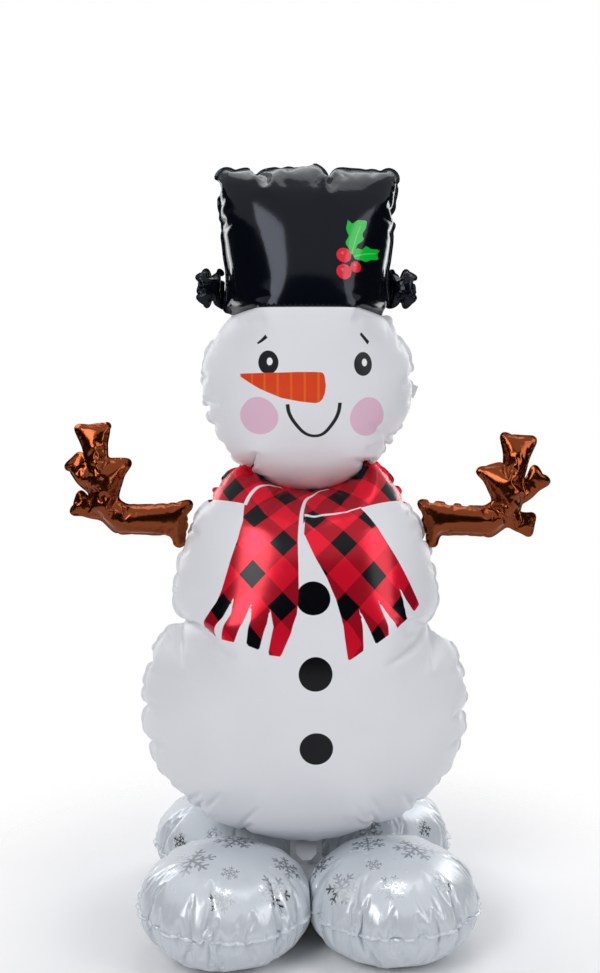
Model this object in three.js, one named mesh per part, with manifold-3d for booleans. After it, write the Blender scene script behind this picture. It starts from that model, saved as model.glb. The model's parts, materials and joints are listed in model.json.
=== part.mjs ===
// A free-standing, air-filled foil snowman: four round base cushions, a two-lobed body, a head with a
// top hat, two twig arms and two brim ends. Every chamber is two plies of film sealed round a flat hem.
// Millimetres, +Z up. The origin is on the floor under the figure's middle, and the front faces -Y.
// "left" and "right" are as seen by someone who faces the snowman, so left is -X.
import * as THREE from "three";
import { mergeVertices } from "three/addons/utils/BufferGeometryUtils.js";
import Module from "manifold-3d";

const wasm = await Module();
wasm.setup();

// ---------------------------------------------------------------- driving dimensions
const WALL = 0.6; // thickness that each film ply is drawn with
const FILM_GAP = 0.3; // clearance between plies and pieces that touch
const HEM = 6; // width of the heat-sealed hem round a chamber
const PRESSED_HEM = 1.5; // width of the hem where two cushions press on each other

const CUSHION_RADIUS = 149; // an inflated base cushion, seen from above
const CUSHION_SQUEEZE = { x: 3, y: 11 }; // how far two neighbours flatten each other, each one's share
const CUSHION_SEAM_Z = 84; // height of the cushions' seam above the floor

// The body and head stand on each other, so their heights are counted from one to the next.
const SEAT_CLEARANCE = 5; // between the belly's film and the cushions that it sits on
const BELLY = { halfWidth: 303, halfHeight: 252, halfDepth: 180 };
const CHEST = { up: 457, halfWidth: 243, halfHeight: 282, halfDepth: 165 }; // up from the body's bottom
const BODY_MIDDLE_UP = 337; // the point that the body's film spreads out from
const NECK_UP = 680; // the bottom of the head's seam, up from the body's
const HEAD = { halfWidth: 197, halfHeight: 172, crown: 190, halfDepth: 130 };
const HAT_LINE_UP = 139; // where the white film meets the black film, up from the head's middle
const HAT = { foot: 141, top: 161, height: 244, crown: 13, halfDepth: 118, corner: 30 };
const HEAD_MIDDLE_UP = 71; // the point that the head and hat film spreads out from

const VALVE = { width: 24, inside: 58, outside: 2, thickness: 0.9 };
const TAIL = { width: 38, length: 40, thickness: 1.2, tip: 11 };
const STRAP = { width: 60, thickness: 1.2 };
const BALLAST = { clearance: 2, height: 34, corner: 0.55 };

const ARM_ROOT_UP = 135; // the middle of an arm's weld, up from the chest's widest line
const BRIM_ROOT_UP = 42; // the middle of a brim end's weld, up from the hat's foot
const BRIM_REST_TURN = THREE.MathUtils.degToRad(24); // how far a brim end leans to the front at rest
const TAIL_REST_TURN = THREE.MathUtils.degToRad(35); // how far the filling tail stands off to the front
const HINGE_GAP = 1; // film left free between two hems that hinge on each other
const NECK_GAP = 3; // and between the body's hem and the head's, which follow one arc

const halfGap = FILM_GAP / 2;
const hemHalf = halfGap + WALL; // half the thickness of a closed hem
const cushionX = CUSHION_RADIUS - CUSHION_SQUEEZE.x; // a cushion's centre from the middle, sideways
const cushionY = CUSHION_RADIUS - CUSHION_SQUEEZE.y; // and front to back

// ---------------------------------------------------------------- the shape of inflated film
// Two equal discs of film, sealed at the rim and blown up, take one known curve. With rho the distance
// from the middle over the radius, its height over the radius is the integral of sqrt(sin t) / 2 from
// asin(rho^2) to a right angle. Simpson's rule gives it closely enough.
function pillowHeight(rho) {
  const from = Math.asin(Math.min(1, rho * rho));
  const steps = 24;
  const step = (Math.PI / 2 - from) / steps;
  let sum = 0;
  for (let i = 0; i <= steps; i++) {
    const weight = i === 0 || i === steps ? 1 : i % 2 ? 4 : 2;
    sum += (weight * Math.sqrt(Math.sin(from + i * step))) / 2;
  }
  return (sum * step) / 3;
}
const PILLOW_TOP = pillowHeight(0);
const CUSHION_HALF_DEPTH = PILLOW_TOP * CUSHION_RADIUS;

// The value between low and high where test turns from true to false, by halving.
function turningPoint(low, high, test) {
  let [yes, no] = [low, high];
  for (let i = 0; i < 50; i++) {
    const mid = (yes + no) / 2;
    if (test(mid)) yes = mid;
    else no = mid;
  }
  return yes;
}

// Distance from an ellipse's inside point (0, from) to its edge, along a direction (sin a, cos a).
function ellipseReach(angle, from, centre, halfWidth, halfHeight) {
  const s = Math.sin(angle) / halfWidth;
  const c = Math.cos(angle) / halfHeight;
  const offset = (from - centre) / halfHeight;
  const a = s * s + c * c;
  const b = offset * c;
  return (-b + Math.sqrt(b * b - a * (offset * offset - 1))) / a;
}

// Distance from an outside point (0, from) to an ellipse's near edge, or Infinity where it is missed.
function ellipseEntry(angle, from, centre, halfWidth, halfHeight) {
  const s = Math.sin(angle) / halfWidth;
  const c = Math.cos(angle) / halfHeight;
  const offset = (from - centre) / halfHeight;
  const a = s * s + c * c;
  const b = offset * c;
  const inside = b * b - a * (offset * offset - 1);
  return inside > 0 && b < 0 ? (-b - Math.sqrt(inside)) / a : Infinity;
}

const smooth = (low, high, value) => THREE.MathUtils.smoothstep(value, low, high);

// ---------------------------------------------------------------- solids
function toSolid(geometry) {
  const bare = geometry.clone();
  for (const name of Object.keys(bare.attributes)) {
    if (name !== "position") bare.deleteAttribute(name);
  }
  const merged = mergeVertices(bare, 1e-4);
  return new wasm.Manifold(
    new wasm.Mesh({
      numProp: 3,
      vertProperties: new Float32Array(merged.attributes.position.array),
      triVerts: new Uint32Array(merged.index.array),
    }),
  );
}

function toGeometry(solid) {
  const mesh = solid.getMesh();
  return new THREE.BufferGeometry()
    .setAttribute("position", new THREE.BufferAttribute(mesh.vertProperties, 3))
    .setIndex(new THREE.BufferAttribute(mesh.triVerts, 1));
}

function boxSolid(width, depth, height, x = 0, y = 0, z = 0) {
  return toSolid(new THREE.BoxGeometry(width, depth, height).translate(x, y, z));
}

// Joins rings of points, each a list of Vector3, into a closed solid. A ring of one point is a pole.
// With reversed, the rings are wound the other way, so that the skin faces out.
function skin(rings, reversed = false) {
  const positions = [];
  const index = [];
  const starts = rings.map((ring) => {
    const start = positions.length / 3;
    ring.forEach((p) => positions.push(p.x, p.y, p.z));
    return start;
  });
  for (let r = 0; r + 1 < rings.length; r++) {
    const [inner, outer] = [rings[r], rings[r + 1]];
    const count = Math.max(inner.length, outer.length);
    for (let i = 0; i < count; i++) {
      const a = starts[r] + (i % inner.length);
      const b = starts[r] + ((i + 1) % inner.length);
      const c = starts[r + 1] + (i % outer.length);
      const d = starts[r + 1] + ((i + 1) % outer.length);
      if (outer.length > 1) index.push(a, c, d);
      if (inner.length > 1) index.push(a, d, b);
    }
  }
  if (reversed) index.reverse();
  const geometry = new THREE.BufferGeometry()
    .setAttribute("position", new THREE.Float32BufferAttribute(positions, 3))
    .setIndex(index);
  const solid = toSolid(geometry);
  return solid.volume() < 0 ? skin(rings, true) : solid;
}

// One ply of a chamber, as a dish that opens at the seam plane y = 0 and bulges to -Y.
// reach(angle) is the seam's distance from the middle, deepest(x, z) the bulge's depth there, and
// limit(point, wall) may press the dish against a flat neighbour.
// corners lists angles of the rim that need a point of their own, on both sides of the middle, and
// foot is the rho out to which the dish is pressed flat, if it stands on something.
function filmPly({ reach, deepest, hem = () => HEM, limit = () => {}, ...mesh }) {
  const { around = 24, rows = 5, corners = [], foot = 0 } = mesh;
  const even = Array.from({ length: around }, (_, i) => (2 * Math.PI * i) / around);
  const own = corners.flatMap((angle) => [angle, 2 * Math.PI - angle]);
  const apart = (angle) => own.every((corner) => Math.abs(angle - corner) > 0.02);
  const angles = [...even.filter(apart), ...own].sort((a, b) => a - b);
  const spread = Array.from({ length: rows + 1 }, (_, k) => Math.sqrt(Math.sin((Math.PI / 2) * (k / rows))));
  if (foot > 0) spread.splice(1, 0, foot);
  const ring = (inset, wall, rho) => {
    const place = (angle) => {
      const flat = rho * (reach(angle) - inset);
      const p = new THREE.Vector3(flat * Math.sin(angle), 0, flat * Math.cos(angle));
      p.y = -(halfGap + wall + (deepest(p.x, p.z) * pillowHeight(rho)) / PILLOW_TOP);
      limit(p, wall);
      return p;
    };
    return rho === 0 ? [place(0)] : angles.map(place);
  };
  const edge = (extra, depth) =>
    angles.map((angle) => {
      const flat = reach(angle);
      const p = new THREE.Vector3(flat * Math.sin(angle), 0, flat * Math.cos(angle));
      limit(p, WALL);
      p.x += extra(angle) * Math.sin(angle);
      p.z += extra(angle) * Math.cos(angle);
      p.y = -depth;
      return p;
    });
  const outside = spread.map((rho) => ring(0, WALL, rho));
  const inside = spread.map((rho) => ring(WALL, 0, rho)).reverse();
  return skin([...outside, edge(hem, hemHalf), edge(hem, halfGap), ...inside]);
}

// The ply on the other side of the seam plane.
const opposite = (solid) => solid.mirror([0, 1, 0]);

// A tapering tube of film along a path in the seam plane. Each station is [x, z, half width, half depth].
function tubeSolid(stations, shrink = 0, sides = 10) {
  const at = stations.map(([x, z]) => new THREE.Vector3(x, 0, z));
  const rings = stations.map(([, , width, depth], i) => {
    const along = at[Math.min(i + 1, at.length - 1)].clone().sub(at[Math.max(i - 1, 0)]).normalize();
    const side = new THREE.Vector3(along.z, 0, -along.x);
    const centre = at[i].clone();
    if (i === 0) centre.addScaledVector(along, shrink);
    if (i === at.length - 1) centre.addScaledVector(along, -shrink);
    return Array.from({ length: sides }, (_, k) => {
      const turn = (2 * Math.PI * k) / sides;
      return centre
        .clone()
        .addScaledVector(side, Math.max(width - shrink, 0.2) * Math.cos(turn))
        .add(new THREE.Vector3(0, Math.max(depth - shrink, halfGap + 0.02) * Math.sin(turn), 0));
    });
  });
  const middle = (ring) => [ring.reduce((sum, p) => sum.add(p), new THREE.Vector3()).divideScalar(ring.length)];
  return skin([middle(rings.at(0)), ...rings, middle(rings.at(-1))]);
}

// Front and back plies of a branching tube, and the flat hems that close its ends.
function branchingPlies(branches, hems) {
  const outer = branches.map((b) => tubeSolid(b)).reduce((all, b) => all.add(b));
  const inner = branches.map((b) => tubeSolid(b, WALL)).reduce((all, b) => all.add(b));
  const whole = hems.reduce((all, hem) => all.add(hem), outer.subtract(inner));
  const half = boxSolid(4000, 1000, 4000, 0, -500 - halfGap, 0);
  return [whole.intersect(half), whole.intersect(opposite(half))];
}

// The flat hem across a tube's end: a plate from the end point, along the outward direction.
function endHem(x, z, direction, halfWidth, length = HEM) {
  const plate = new THREE.BoxGeometry(2 * halfWidth, 2 * hemHalf, length + 1);
  plate.translate(0, 0, (length - 1) / 2);
  plate.rotateY(Math.atan2(direction.x, direction.z));
  return toSolid(plate.translate(x, 0, z));
}

// ---------------------------------------------------------------- materials
function finish(color, roughness, metalness = 0) {
  return new THREE.MeshStandardMaterial({ color, roughness, metalness });
}
const MATERIALS = {
  white: finish(0xe9eaf0, 0.5),
  cushion: finish(0xe4eaee, 0.3),
  black: finish(0x0c0d12, 0.15, 0.3),
  bark: finish(0x6b341c, 0.22, 0.85),
  clear: finish(0xc9ccd1, 0.35),
  ballast: finish(0xb8b2a6, 0.7),
};

function piece(name, solid, material) {
  const mesh = new THREE.Mesh(toGeometry(solid), MATERIALS[material]);
  mesh.name = name;
  return mesh;
}

// ---------------------------------------------------------------- valves
// A self-sealing valve is a flat sleeve that runs through the hem. It lies in the seam plane, along +Z,
// with its mouth outside at z = HEM + VALVE.outside when the seam is at z = 0.
function valveSolid(inside = VALVE.inside, outside = VALVE.outside) {
  const length = inside + HEM + outside;
  return boxSolid(VALVE.width, VALVE.thickness, length, 0, 0, (HEM + outside - inside) / 2);
}

// The slot that the plies leave for it.
function valveSlot() {
  const room = 2 * FILM_GAP;
  return boxSolid(VALVE.width + room, VALVE.thickness + room, 3 * HEM + 8, 0, 0, HEM);
}

// Turns a solid that points along +Z to a direction at an angle from +Z towards +X, and moves it.
const aim = (solid, angle, x, z) =>
  solid.rotate([0, THREE.MathUtils.radToDeg(angle), 0]).translate([x, 0, z]);

// ---------------------------------------------------------------- base cushions
// Drawn with the seam in the plane y = 0, then laid flat: -Y turns up for the top ply.
// sideX and sideY are +1 or -1, and say which corner of the base the cushion fills.
function cushionPlies(sideX, sideY) {
  const wallX = cushionX - FILM_GAP - PRESSED_HEM;
  const wallY = cushionY - FILM_GAP - PRESSED_HEM;
  // Before it is laid flat, a ply's z is the base's +Y on the top and its -Y underneath.
  const press = (flip) => (p, wall) => {
    const inner = WALL - wall;
    p.x = sideX * Math.max(sideX * p.x, inner - wallX);
    p.z = flip * sideY * Math.max(flip * sideY * p.z, inner - wallY);
  };
  const hemAt = (flip) => (angle) => {
    const towardsX = -sideX * Math.sin(angle) * CUSHION_RADIUS - wallX + 2 * HEM;
    const towardsY = -flip * sideY * Math.cos(angle) * CUSHION_RADIUS - wallY + 2 * HEM;
    return THREE.MathUtils.lerp(HEM, PRESSED_HEM, smooth(0, HEM, Math.max(towardsX, towardsY)));
  };
  const reach = () => CUSHION_RADIUS;
  const deepest = () => CUSHION_HALF_DEPTH;
  const floor = (p, wall) => {
    press(-1)(p, wall);
    p.y = Math.max(p.y, -(CUSHION_SEAM_Z - WALL + wall));
  };
  const pressed = (CUSHION_SEAM_Z - hemHalf) / CUSHION_HALF_DEPTH;
  const foot = turningPoint(0, 1, (rho) => pillowHeight(rho) / PILLOW_TOP > pressed);
  const valveAngle = (flip) => Math.atan2(sideX, -flip * sideY * 0.12);
  const cut = (ply, flip) => {
    const angle = valveAngle(flip);
    const slot = aim(valveSlot(), angle, CUSHION_RADIUS * Math.sin(angle), CUSHION_RADIUS * Math.cos(angle));
    return ply.subtract(slot);
  };
  return {
    top: cut(filmPly({ reach, deepest, hem: hemAt(1), limit: press(1) }), 1),
    bottom: cut(filmPly({ reach, deepest, hem: hemAt(-1), limit: floor, foot }), -1),
    valve: aim(
      valveSolid(),
      valveAngle(1),
      CUSHION_RADIUS * Math.sin(valveAngle(1)),
      CUSHION_RADIUS * Math.cos(valveAngle(1)),
    ),
  };
}

function cushion(sideX, sideY) {
  const name = `${sideY < 0 ? "front" : "back"}_${sideX < 0 ? "left" : "right"}_cushion`;
  const plies = cushionPlies(sideX, sideY);
  const group = new THREE.Group();
  group.position.set(sideX * cushionX, sideY * cushionY, CUSHION_SEAM_Z);
  const top = piece(`${name}_top_ply`, plies.top, "cushion");
  const bottom = piece(`${name}_bottom_ply`, plies.bottom, "cushion");
  const valve = piece(`${name}_valve`, plies.valve, "clear");
  top.rotation.x = -Math.PI / 2;
  valve.rotation.x = -Math.PI / 2;
  bottom.rotation.x = Math.PI / 2;
  group.add(top, bottom, valve);
  return group;
}

// The sheet that ties the four cushions together, in the space between their hems.
function centreWeb() {
  const radius = CUSHION_RADIUS + HEM + FILM_GAP;
  const hole = new THREE.CylinderGeometry(radius, radius, 20, 60);
  hole.rotateX(Math.PI / 2);
  let sheet = boxSolid(2 * cushionX, 2 * cushionY, 2 * hemHalf, 0, 0, CUSHION_SEAM_Z);
  for (const x of [-cushionX, cushionX]) {
    for (const y of [-cushionY, cushionY]) {
      sheet = sheet.subtract(toSolid(hole.clone().translate(x, y, CUSHION_SEAM_Z)));
    }
  }
  const middle = sheet.decompose().reduce((best, part) => (part.volume() > best.volume() ? part : best));
  return piece("base_centre_web", middle, "cushion");
}

// A square film bag of water that lies cornerwise on the floor between the cushions.
function ballastBag() {
  const { clearance, height, corner } = BALLAST;
  const power = 2 - corner; // 1 would be a sharp diamond, 2 a circle
  const above = (CUSHION_SEAM_Z - height) / CUSHION_HALF_DEPTH;
  const widest = CUSHION_RADIUS * turningPoint(0, 1, (rho) => pillowHeight(rho) / PILLOW_TOP > above);
  const room = Math.hypot(cushionX, cushionY) - widest - clearance; // towards a cushion's middle
  const halfDiagonal = room * (2 * Math.SQRT1_2 ** power) ** (1 / power);
  const around = 24;
  const rows = 5;
  const ring = (rho, side) => {
    const place = (angle) => {
      const s = Math.abs(Math.sin(angle)) ** power + Math.abs(Math.cos(angle)) ** power;
      const flat = (rho * halfDiagonal) / s ** (1 / power);
      const lift = (pillowHeight(rho) / PILLOW_TOP) * (height / 2) * 1.15;
      const z = height / 2 + side * Math.min(lift, height / 2);
      return new THREE.Vector3(flat * Math.sin(angle), -flat * Math.cos(angle), z);
    };
    return rho === 0 ? [place(0)] : Array.from({ length: around }, (_, i) => place((2 * Math.PI * i) / around));
  };
  const spread = Array.from({ length: rows + 1 }, (_, k) => Math.sqrt(Math.sin((Math.PI / 2) * (k / rows))));
  const lower = spread.map((rho) => ring(rho, -1));
  const upper = spread.slice(0, -1).map((rho) => ring(rho, 1));
  const rings = [...lower, ...upper.reverse()];
  return piece("ballast_bag", skin(rings), "ballast");
}

// ---------------------------------------------------------------- body
const neckRoom = 2 * HEM + NECK_GAP;
const headUp = NECK_UP + HEAD.halfHeight;

function bodySide(angle) {
  const belly = ellipseReach(angle, BODY_MIDDLE_UP, BELLY.halfHeight, BELLY.halfWidth, BELLY.halfHeight);
  const chest = ellipseReach(angle, BODY_MIDDLE_UP, CHEST.up, CHEST.halfWidth, CHEST.halfHeight);
  return Math.max(belly, chest);
}

// The body's top is hollowed, to follow the round of the head at an even distance.
function neckReach(angle) {
  const [halfWidth, halfHeight] = [HEAD.halfWidth + neckRoom, HEAD.halfHeight + neckRoom];
  return ellipseEntry(angle, BODY_MIDDLE_UP, headUp, halfWidth, halfHeight);
}

const bodyReach = (angle) => Math.min(bodySide(angle), neckReach(angle));

function bodyDepth(x, z) {
  const up = z + BODY_MIDDLE_UP;
  return THREE.MathUtils.lerp(BELLY.halfDepth, CHEST.halfDepth, smooth(BELLY.halfHeight, CHEST.up + 60, up));
}

// How far up from the body's bottom its film is, under the belly at x and at y from the seam plane.
function bellyUnder(x, y) {
  const hollow = (up) => {
    const z = up - BODY_MIDDLE_UP;
    const rho = Math.hypot(x, z) / bodyReach(Math.atan2(x, z));
    return rho > 1 || (bodyDepth(x, z) * pillowHeight(rho)) / PILLOW_TOP < Math.abs(y);
  };
  return turningPoint(0, BELLY.halfHeight, hollow);
}

// The body's bottom is as high as the cushions hold it: no point of the belly is nearer than its clearance.
function seatHeight() {
  let lift = 0;
  const samples = 14;
  for (let i = 0; i < samples; i++) {
    for (let j = 0; j < samples; j++) {
      const [x, y] = [(i / samples) * BELLY.halfWidth, (j / samples) * BELLY.halfDepth];
      const rho = Math.hypot(x - cushionX, y - cushionY) / CUSHION_RADIUS;
      const top = rho < 1 ? CUSHION_HALF_DEPTH * (pillowHeight(rho) / PILLOW_TOP) : 0;
      if (rho < 1) lift = Math.max(lift, top - bellyUnder(x, y));
    }
  }
  return CUSHION_SEAM_Z + lift + SEAT_CLEARANCE;
}

const bodyBottomZ = seatHeight(); // the seam's lowest point
const bodyMiddleZ = bodyBottomZ + BODY_MIDDLE_UP;
const headZ = bodyBottomZ + headUp;
const hatLineZ = headZ + HAT_LINE_UP;
const hatTopZ = hatLineZ + HAT.height;
const headMiddleZ = headZ + HEAD_MIDDLE_UP;
const armRootZ = bodyBottomZ + CHEST.up + ARM_ROOT_UP;
const brimRootZ = hatLineZ + BRIM_ROOT_UP;

function body() {
  const neckCorner = turningPoint(0, 0.8, (angle) => neckReach(angle) < bodySide(angle));
  const corners = [neckCorner, neckCorner / 2];
  const front = filmPly({ reach: bodyReach, deepest: bodyDepth, around: 40, rows: 6, corners });
  const valveTurn = Math.PI - 0.16; // the valve leaves the bottom, just left of the strap and the tail
  const reach = bodyReach(valveTurn);
  const place = (solid) => aim(solid, valveTurn, reach * Math.sin(valveTurn), reach * Math.cos(valveTurn));
  const group = new THREE.Group();
  group.position.z = bodyMiddleZ;
  group.add(
    piece("body_front_ply", front.subtract(place(valveSlot())), "white"),
    piece("body_back_ply", opposite(front).subtract(place(valveSlot())), "white"),
    piece("body_valve", place(valveSolid(VALVE.inside, 2)), "clear"),
  );
  return group;
}

// Height of the middle of the free film between the body's hem and the base's strap: the figure rocks on it.
const strapTopZ = bodyBottomZ - HEM - FILM_GAP;
const rockZ = (strapTopZ + CUSHION_SEAM_Z + hemHalf) / 2;

// The strap that ties the figure down to the base, in the two parts on either side of its fold.
function straps() {
  const webTopZ = CUSHION_SEAM_Z + hemHalf + FILM_GAP;
  const strap = (name, low, high) =>
    piece(name, boxSolid(STRAP.width, STRAP.thickness, high - low, 0, 0, (low + high) / 2), "cushion");
  return {
    base: strap("base_tie_strap", webTopZ, rockZ - HINGE_GAP / 2),
    figure: strap("figure_tie_strap", rockZ + HINGE_GAP / 2, strapTopZ),
  };
}

// The filling tail: a flap of film in front of the strap, with its corners cut off.
const tailHinge = { y: -(hemHalf + 1.2), z: bodyBottomZ - HEM / 2 };

function fillTail() {
  const { width, length, thickness, tip } = TAIL;
  const outline = new THREE.Shape([
    new THREE.Vector2(-width / 2, 0),
    new THREE.Vector2(-width / 2, -(length - tip)),
    new THREE.Vector2(-width / 2 + tip, -length),
    new THREE.Vector2(width / 2 - tip, -length),
    new THREE.Vector2(width / 2, -(length - tip)),
    new THREE.Vector2(width / 2, 0),
  ]);
  const flap = new THREE.ExtrudeGeometry(outline, { depth: thickness, bevelEnabled: false });
  flap.rotateX(Math.PI / 2);
  const mesh = new THREE.Mesh(flap, MATERIALS.clear);
  mesh.name = "body_fill_tail";
  mesh.position.set(0, tailHinge.y, tailHinge.z);
  mesh.rotation.x = -TAIL_REST_TURN;
  return mesh;
}

// ---------------------------------------------------------------- head and hat
// The hat's side leans out to its top corner, which is rounded, and its top is slightly crowned.
function hatReach(angle) {
  const s = Math.sin(angle);
  const c = Math.cos(angle);
  if (c <= 0) return 0;
  const rise = hatTopZ - hatLineZ;
  const lean = (HAT.top - HAT.foot) / rise;
  const footHere = HAT.foot - lean * (hatLineZ - headMiddleZ);
  const side = Math.abs(s) - lean * c > 1e-6 ? footHere / (Math.abs(s) - lean * c) : Infinity;
  const top = (hatTopZ - headMiddleZ) / c;
  // A soft minimum of the side line and the top line rounds the corner.
  const power = HAT.corner;
  const sharp = (side ** -power + top ** -power) ** (-1 / power);
  return sharp + HAT.crown * Math.max(0, 1 - (Math.abs(s) * sharp) / HAT.top);
}

function headReach(angle) {
  const up = Math.cos(angle) * 1e3 + headMiddleZ > headZ;
  const halfHeight = up ? HEAD.crown : HEAD.halfHeight;
  let skull = ellipseReach(angle, headMiddleZ, headZ, HEAD.halfWidth, halfHeight);
  if (headMiddleZ + skull * Math.cos(angle) < headZ) {
    skull = ellipseReach(angle, headMiddleZ, headZ, HEAD.halfWidth, HEAD.halfHeight);
  }
  return Math.max(skull, hatReach(angle));
}

function headDepth(x, z) {
  return THREE.MathUtils.lerp(HEAD.halfDepth, HAT.halfDepth, smooth(headZ, hatTopZ - 60, z + headMiddleZ));
}

function headAndHat() {
  const corner = Math.atan2(HAT.top, hatTopZ - headMiddleZ);
  const foot = Math.atan2(HAT.foot, hatLineZ - headMiddleZ);
  const corners = [corner - 0.035, corner, corner + 0.035, foot];
  const front = filmPly({ reach: headReach, deepest: headDepth, around: 40, rows: 6, corners });
  const line = hatLineZ - headMiddleZ;
  const above = boxSolid(2000, 1000, 1000, 0, 0, line + halfGap + 500);
  const below = boxSolid(2000, 1000, 1000, 0, 0, line - halfGap - 500);
  const valveTurn = Math.PI * 0.62; // low on the right of the head
  const reach = headReach(valveTurn);
  const place = (solid) => aim(solid, valveTurn, reach * Math.sin(valveTurn), reach * Math.cos(valveTurn));
  const slot = place(valveSlot());
  const back = opposite(front);
  const group = new THREE.Group();
  group.position.z = headMiddleZ;
  group.add(
    piece("hat_front_ply", front.intersect(above), "black"),
    piece("hat_back_ply", back.intersect(above), "black"),
    piece("head_front_ply", front.intersect(below).subtract(slot), "white"),
    piece("head_back_ply", back.intersect(below).subtract(slot), "white"),
    piece("head_valve", place(valveSolid(VALVE.inside, 3)), "clear"),
  );
  return group;
}

// ---------------------------------------------------------------- arms
// The weld line of a side piece: a point just outside a hem, the outward direction and the line's own.
function weldLine(reach, middleZ, rootZ, side) {
  const root = turningPoint(0.02, Math.PI, (angle) => middleZ + reach(angle) * Math.cos(angle) > rootZ);
  const at = (angle) => {
    const flat = reach(angle);
    return new THREE.Vector3(flat * Math.sin(angle), 0, middleZ + flat * Math.cos(angle));
  };
  const along = at(root - 0.02).sub(at(root + 0.02)).normalize();
  const out = new THREE.Vector3(along.z, 0, -along.x);
  const start = at(root).addScaledVector(out, HEM + HINGE_GAP);
  const flip = new THREE.Vector3(side, 1, 1);
  return { start: start.multiply(flip), out: out.multiply(flip), along: along.multiply(flip) };
}

const ARM = {
  rootHalfWidth: 37, // half the width of the flattened root
  tubeRadius: 19,
  // The left arm's branches, as [x, z] from the middle of the weld, x outward.
  left: {
    palm: [[-62, 22], [-118, 36], [-146, 60], [-157, 84]],
    fingers: [
      { from: [-150, 66], to: [-183, 184], radius: 17, flare: 22 },
      { from: [-140, 52], to: [-128, 134], radius: 12, flare: 17 },
      { from: [-152, 66], to: [-220, 121], radius: 9, flare: 13 },
      { from: [-128, 40], to: [-203, 52], radius: 9, flare: 14 },
    ],
  },
  right: {
    palm: [[64, 20], [118, 28], [150, 48], [162, 66]],
    fingers: [
      { from: [152, 50], to: [192, 164], radius: 18, flare: 21 },
      { from: [146, 44], to: [127, 122], radius: 12, flare: 16 },
      { from: [154, 52], to: [231, 92], radius: 10, flare: 14 },
      { from: [138, 40], to: [199, 13], radius: 9, flare: 12 },
    ],
  },
};
const FINGER_SEAL = 14; // length over which a finger flattens to its sealed end

function armPlies(weld, { palm, fingers }) {
  const root = [weld.start.x, weld.start.z];
  const move = ([x, z]) => [root[0] + x, root[1] + z];
  const outward = (distance) => [root[0] + weld.out.x * distance, root[1] + weld.out.z * distance];
  const { rootHalfWidth, tubeRadius } = ARM;
  const sleeve = [
    [...outward(HEM), rootHalfWidth, hemHalf],
    [...outward(HEM + 8), rootHalfWidth * 0.93, tubeRadius * 0.45],
    [...outward(HEM + 26), rootHalfWidth * 0.72, tubeRadius],
    ...palm.map((p, i) => [...move(p), tubeRadius * (i ? 1 : 1.08), tubeRadius * 0.96]),
  ];
  const finger = ({ from, to, radius, flare }) => {
    const [a, b] = [new THREE.Vector2(...move(from)), new THREE.Vector2(...move(to))];
    const direction = b.clone().sub(a).normalize();
    const mid = b.clone().addScaledVector(direction, -FINGER_SEAL);
    return {
      stations: [
        [a.x, a.y, radius * 1.1, radius],
        [(a.x + mid.x) / 2, (a.y + mid.y) / 2, radius, radius],
        [mid.x, mid.y, radius, radius * 0.9],
        [b.x, b.y, flare, hemHalf + 1],
      ],
      hem: endHem(b.x, b.y, new THREE.Vector3(direction.x, 0, direction.y), flare, HEM / 2),
    };
  };
  const grown = fingers.map(finger);
  const rootHem = endHem(...outward(HEM), weld.out.clone().negate(), rootHalfWidth);
  return branchingPlies([sleeve, ...grown.map((f) => f.stations)], [rootHem, ...grown.map((f) => f.hem)]);
}

function arm(side, shape) {
  const name = side < 0 ? "left" : "right";
  const weld = weldLine(bodyReach, bodyMiddleZ, armRootZ, side);
  const [front, back] = armPlies(weld, shape);
  const group = new THREE.Group();
  const down = weld.along.clone().negate(); // the valve comes out under the arm, near its root
  const spot = weld.start.clone().addScaledVector(weld.out, HEM + 30);
  const turn = Math.atan2(down.x, down.z);
  const valve = aim(boxSolid(14, VALVE.thickness, 34, 0, 0, 15), turn, spot.x, spot.z);
  const room = 2 * FILM_GAP;
  const opening = boxSolid(14 + room, VALVE.thickness + room, 60, 0, 0, 28);
  const slot = aim(opening, turn, spot.x, spot.z);
  group.add(
    piece(`${name}_arm_front_ply`, front.subtract(slot), "bark"),
    piece(`${name}_arm_back_ply`, back.subtract(slot), "bark"),
    piece(`${name}_arm_valve`, valve, "clear"),
  );
  return group;
}

// ---------------------------------------------------------------- brim ends
const BRIM = { rootHalfWidth: 36, radius: 24, length: 46, tipHalfWidth: 27 };

function brimEnd(side) {
  const name = side < 0 ? "left" : "right";
  const weld = weldLine(headReach, headMiddleZ, brimRootZ, side);
  const out = (distance) => [side * distance, 0];
  const { rootHalfWidth, radius, length, tipHalfWidth } = BRIM;
  const stations = [
    [...out(HEM), rootHalfWidth, hemHalf],
    [...out(HEM + 7), rootHalfWidth * 0.96, radius * 0.5],
    [...out(HEM + 20), rootHalfWidth * 0.85, radius],
    [...out(HEM + length * 0.75), radius, radius],
    [...out(HEM + length), tipHalfWidth, hemHalf + 1],
  ];
  const rootHem = endHem(...out(HEM), new THREE.Vector3(-side, 0, 0), rootHalfWidth);
  const tipHem = endHem(...out(HEM + length), new THREE.Vector3(side, 0, 0), tipHalfWidth, HEM / 2);
  const [front, back] = branchingPlies([stations], [rootHem, tipHem]);
  const group = new THREE.Group();
  group.position.copy(weld.start);
  // The weld leans with the hat's side, and the end is bent to the front about that line.
  const lean = new THREE.Quaternion().setFromUnitVectors(new THREE.Vector3(side, 0, 0), weld.out);
  const bend = new THREE.Quaternion().setFromAxisAngle(weld.along, -side * BRIM_REST_TURN);
  group.quaternion.copy(bend.multiply(lean));
  group.add(piece(`${name}_brim_front_ply`, front, "black"), piece(`${name}_brim_back_ply`, back, "black"));
  return group;
}

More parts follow.
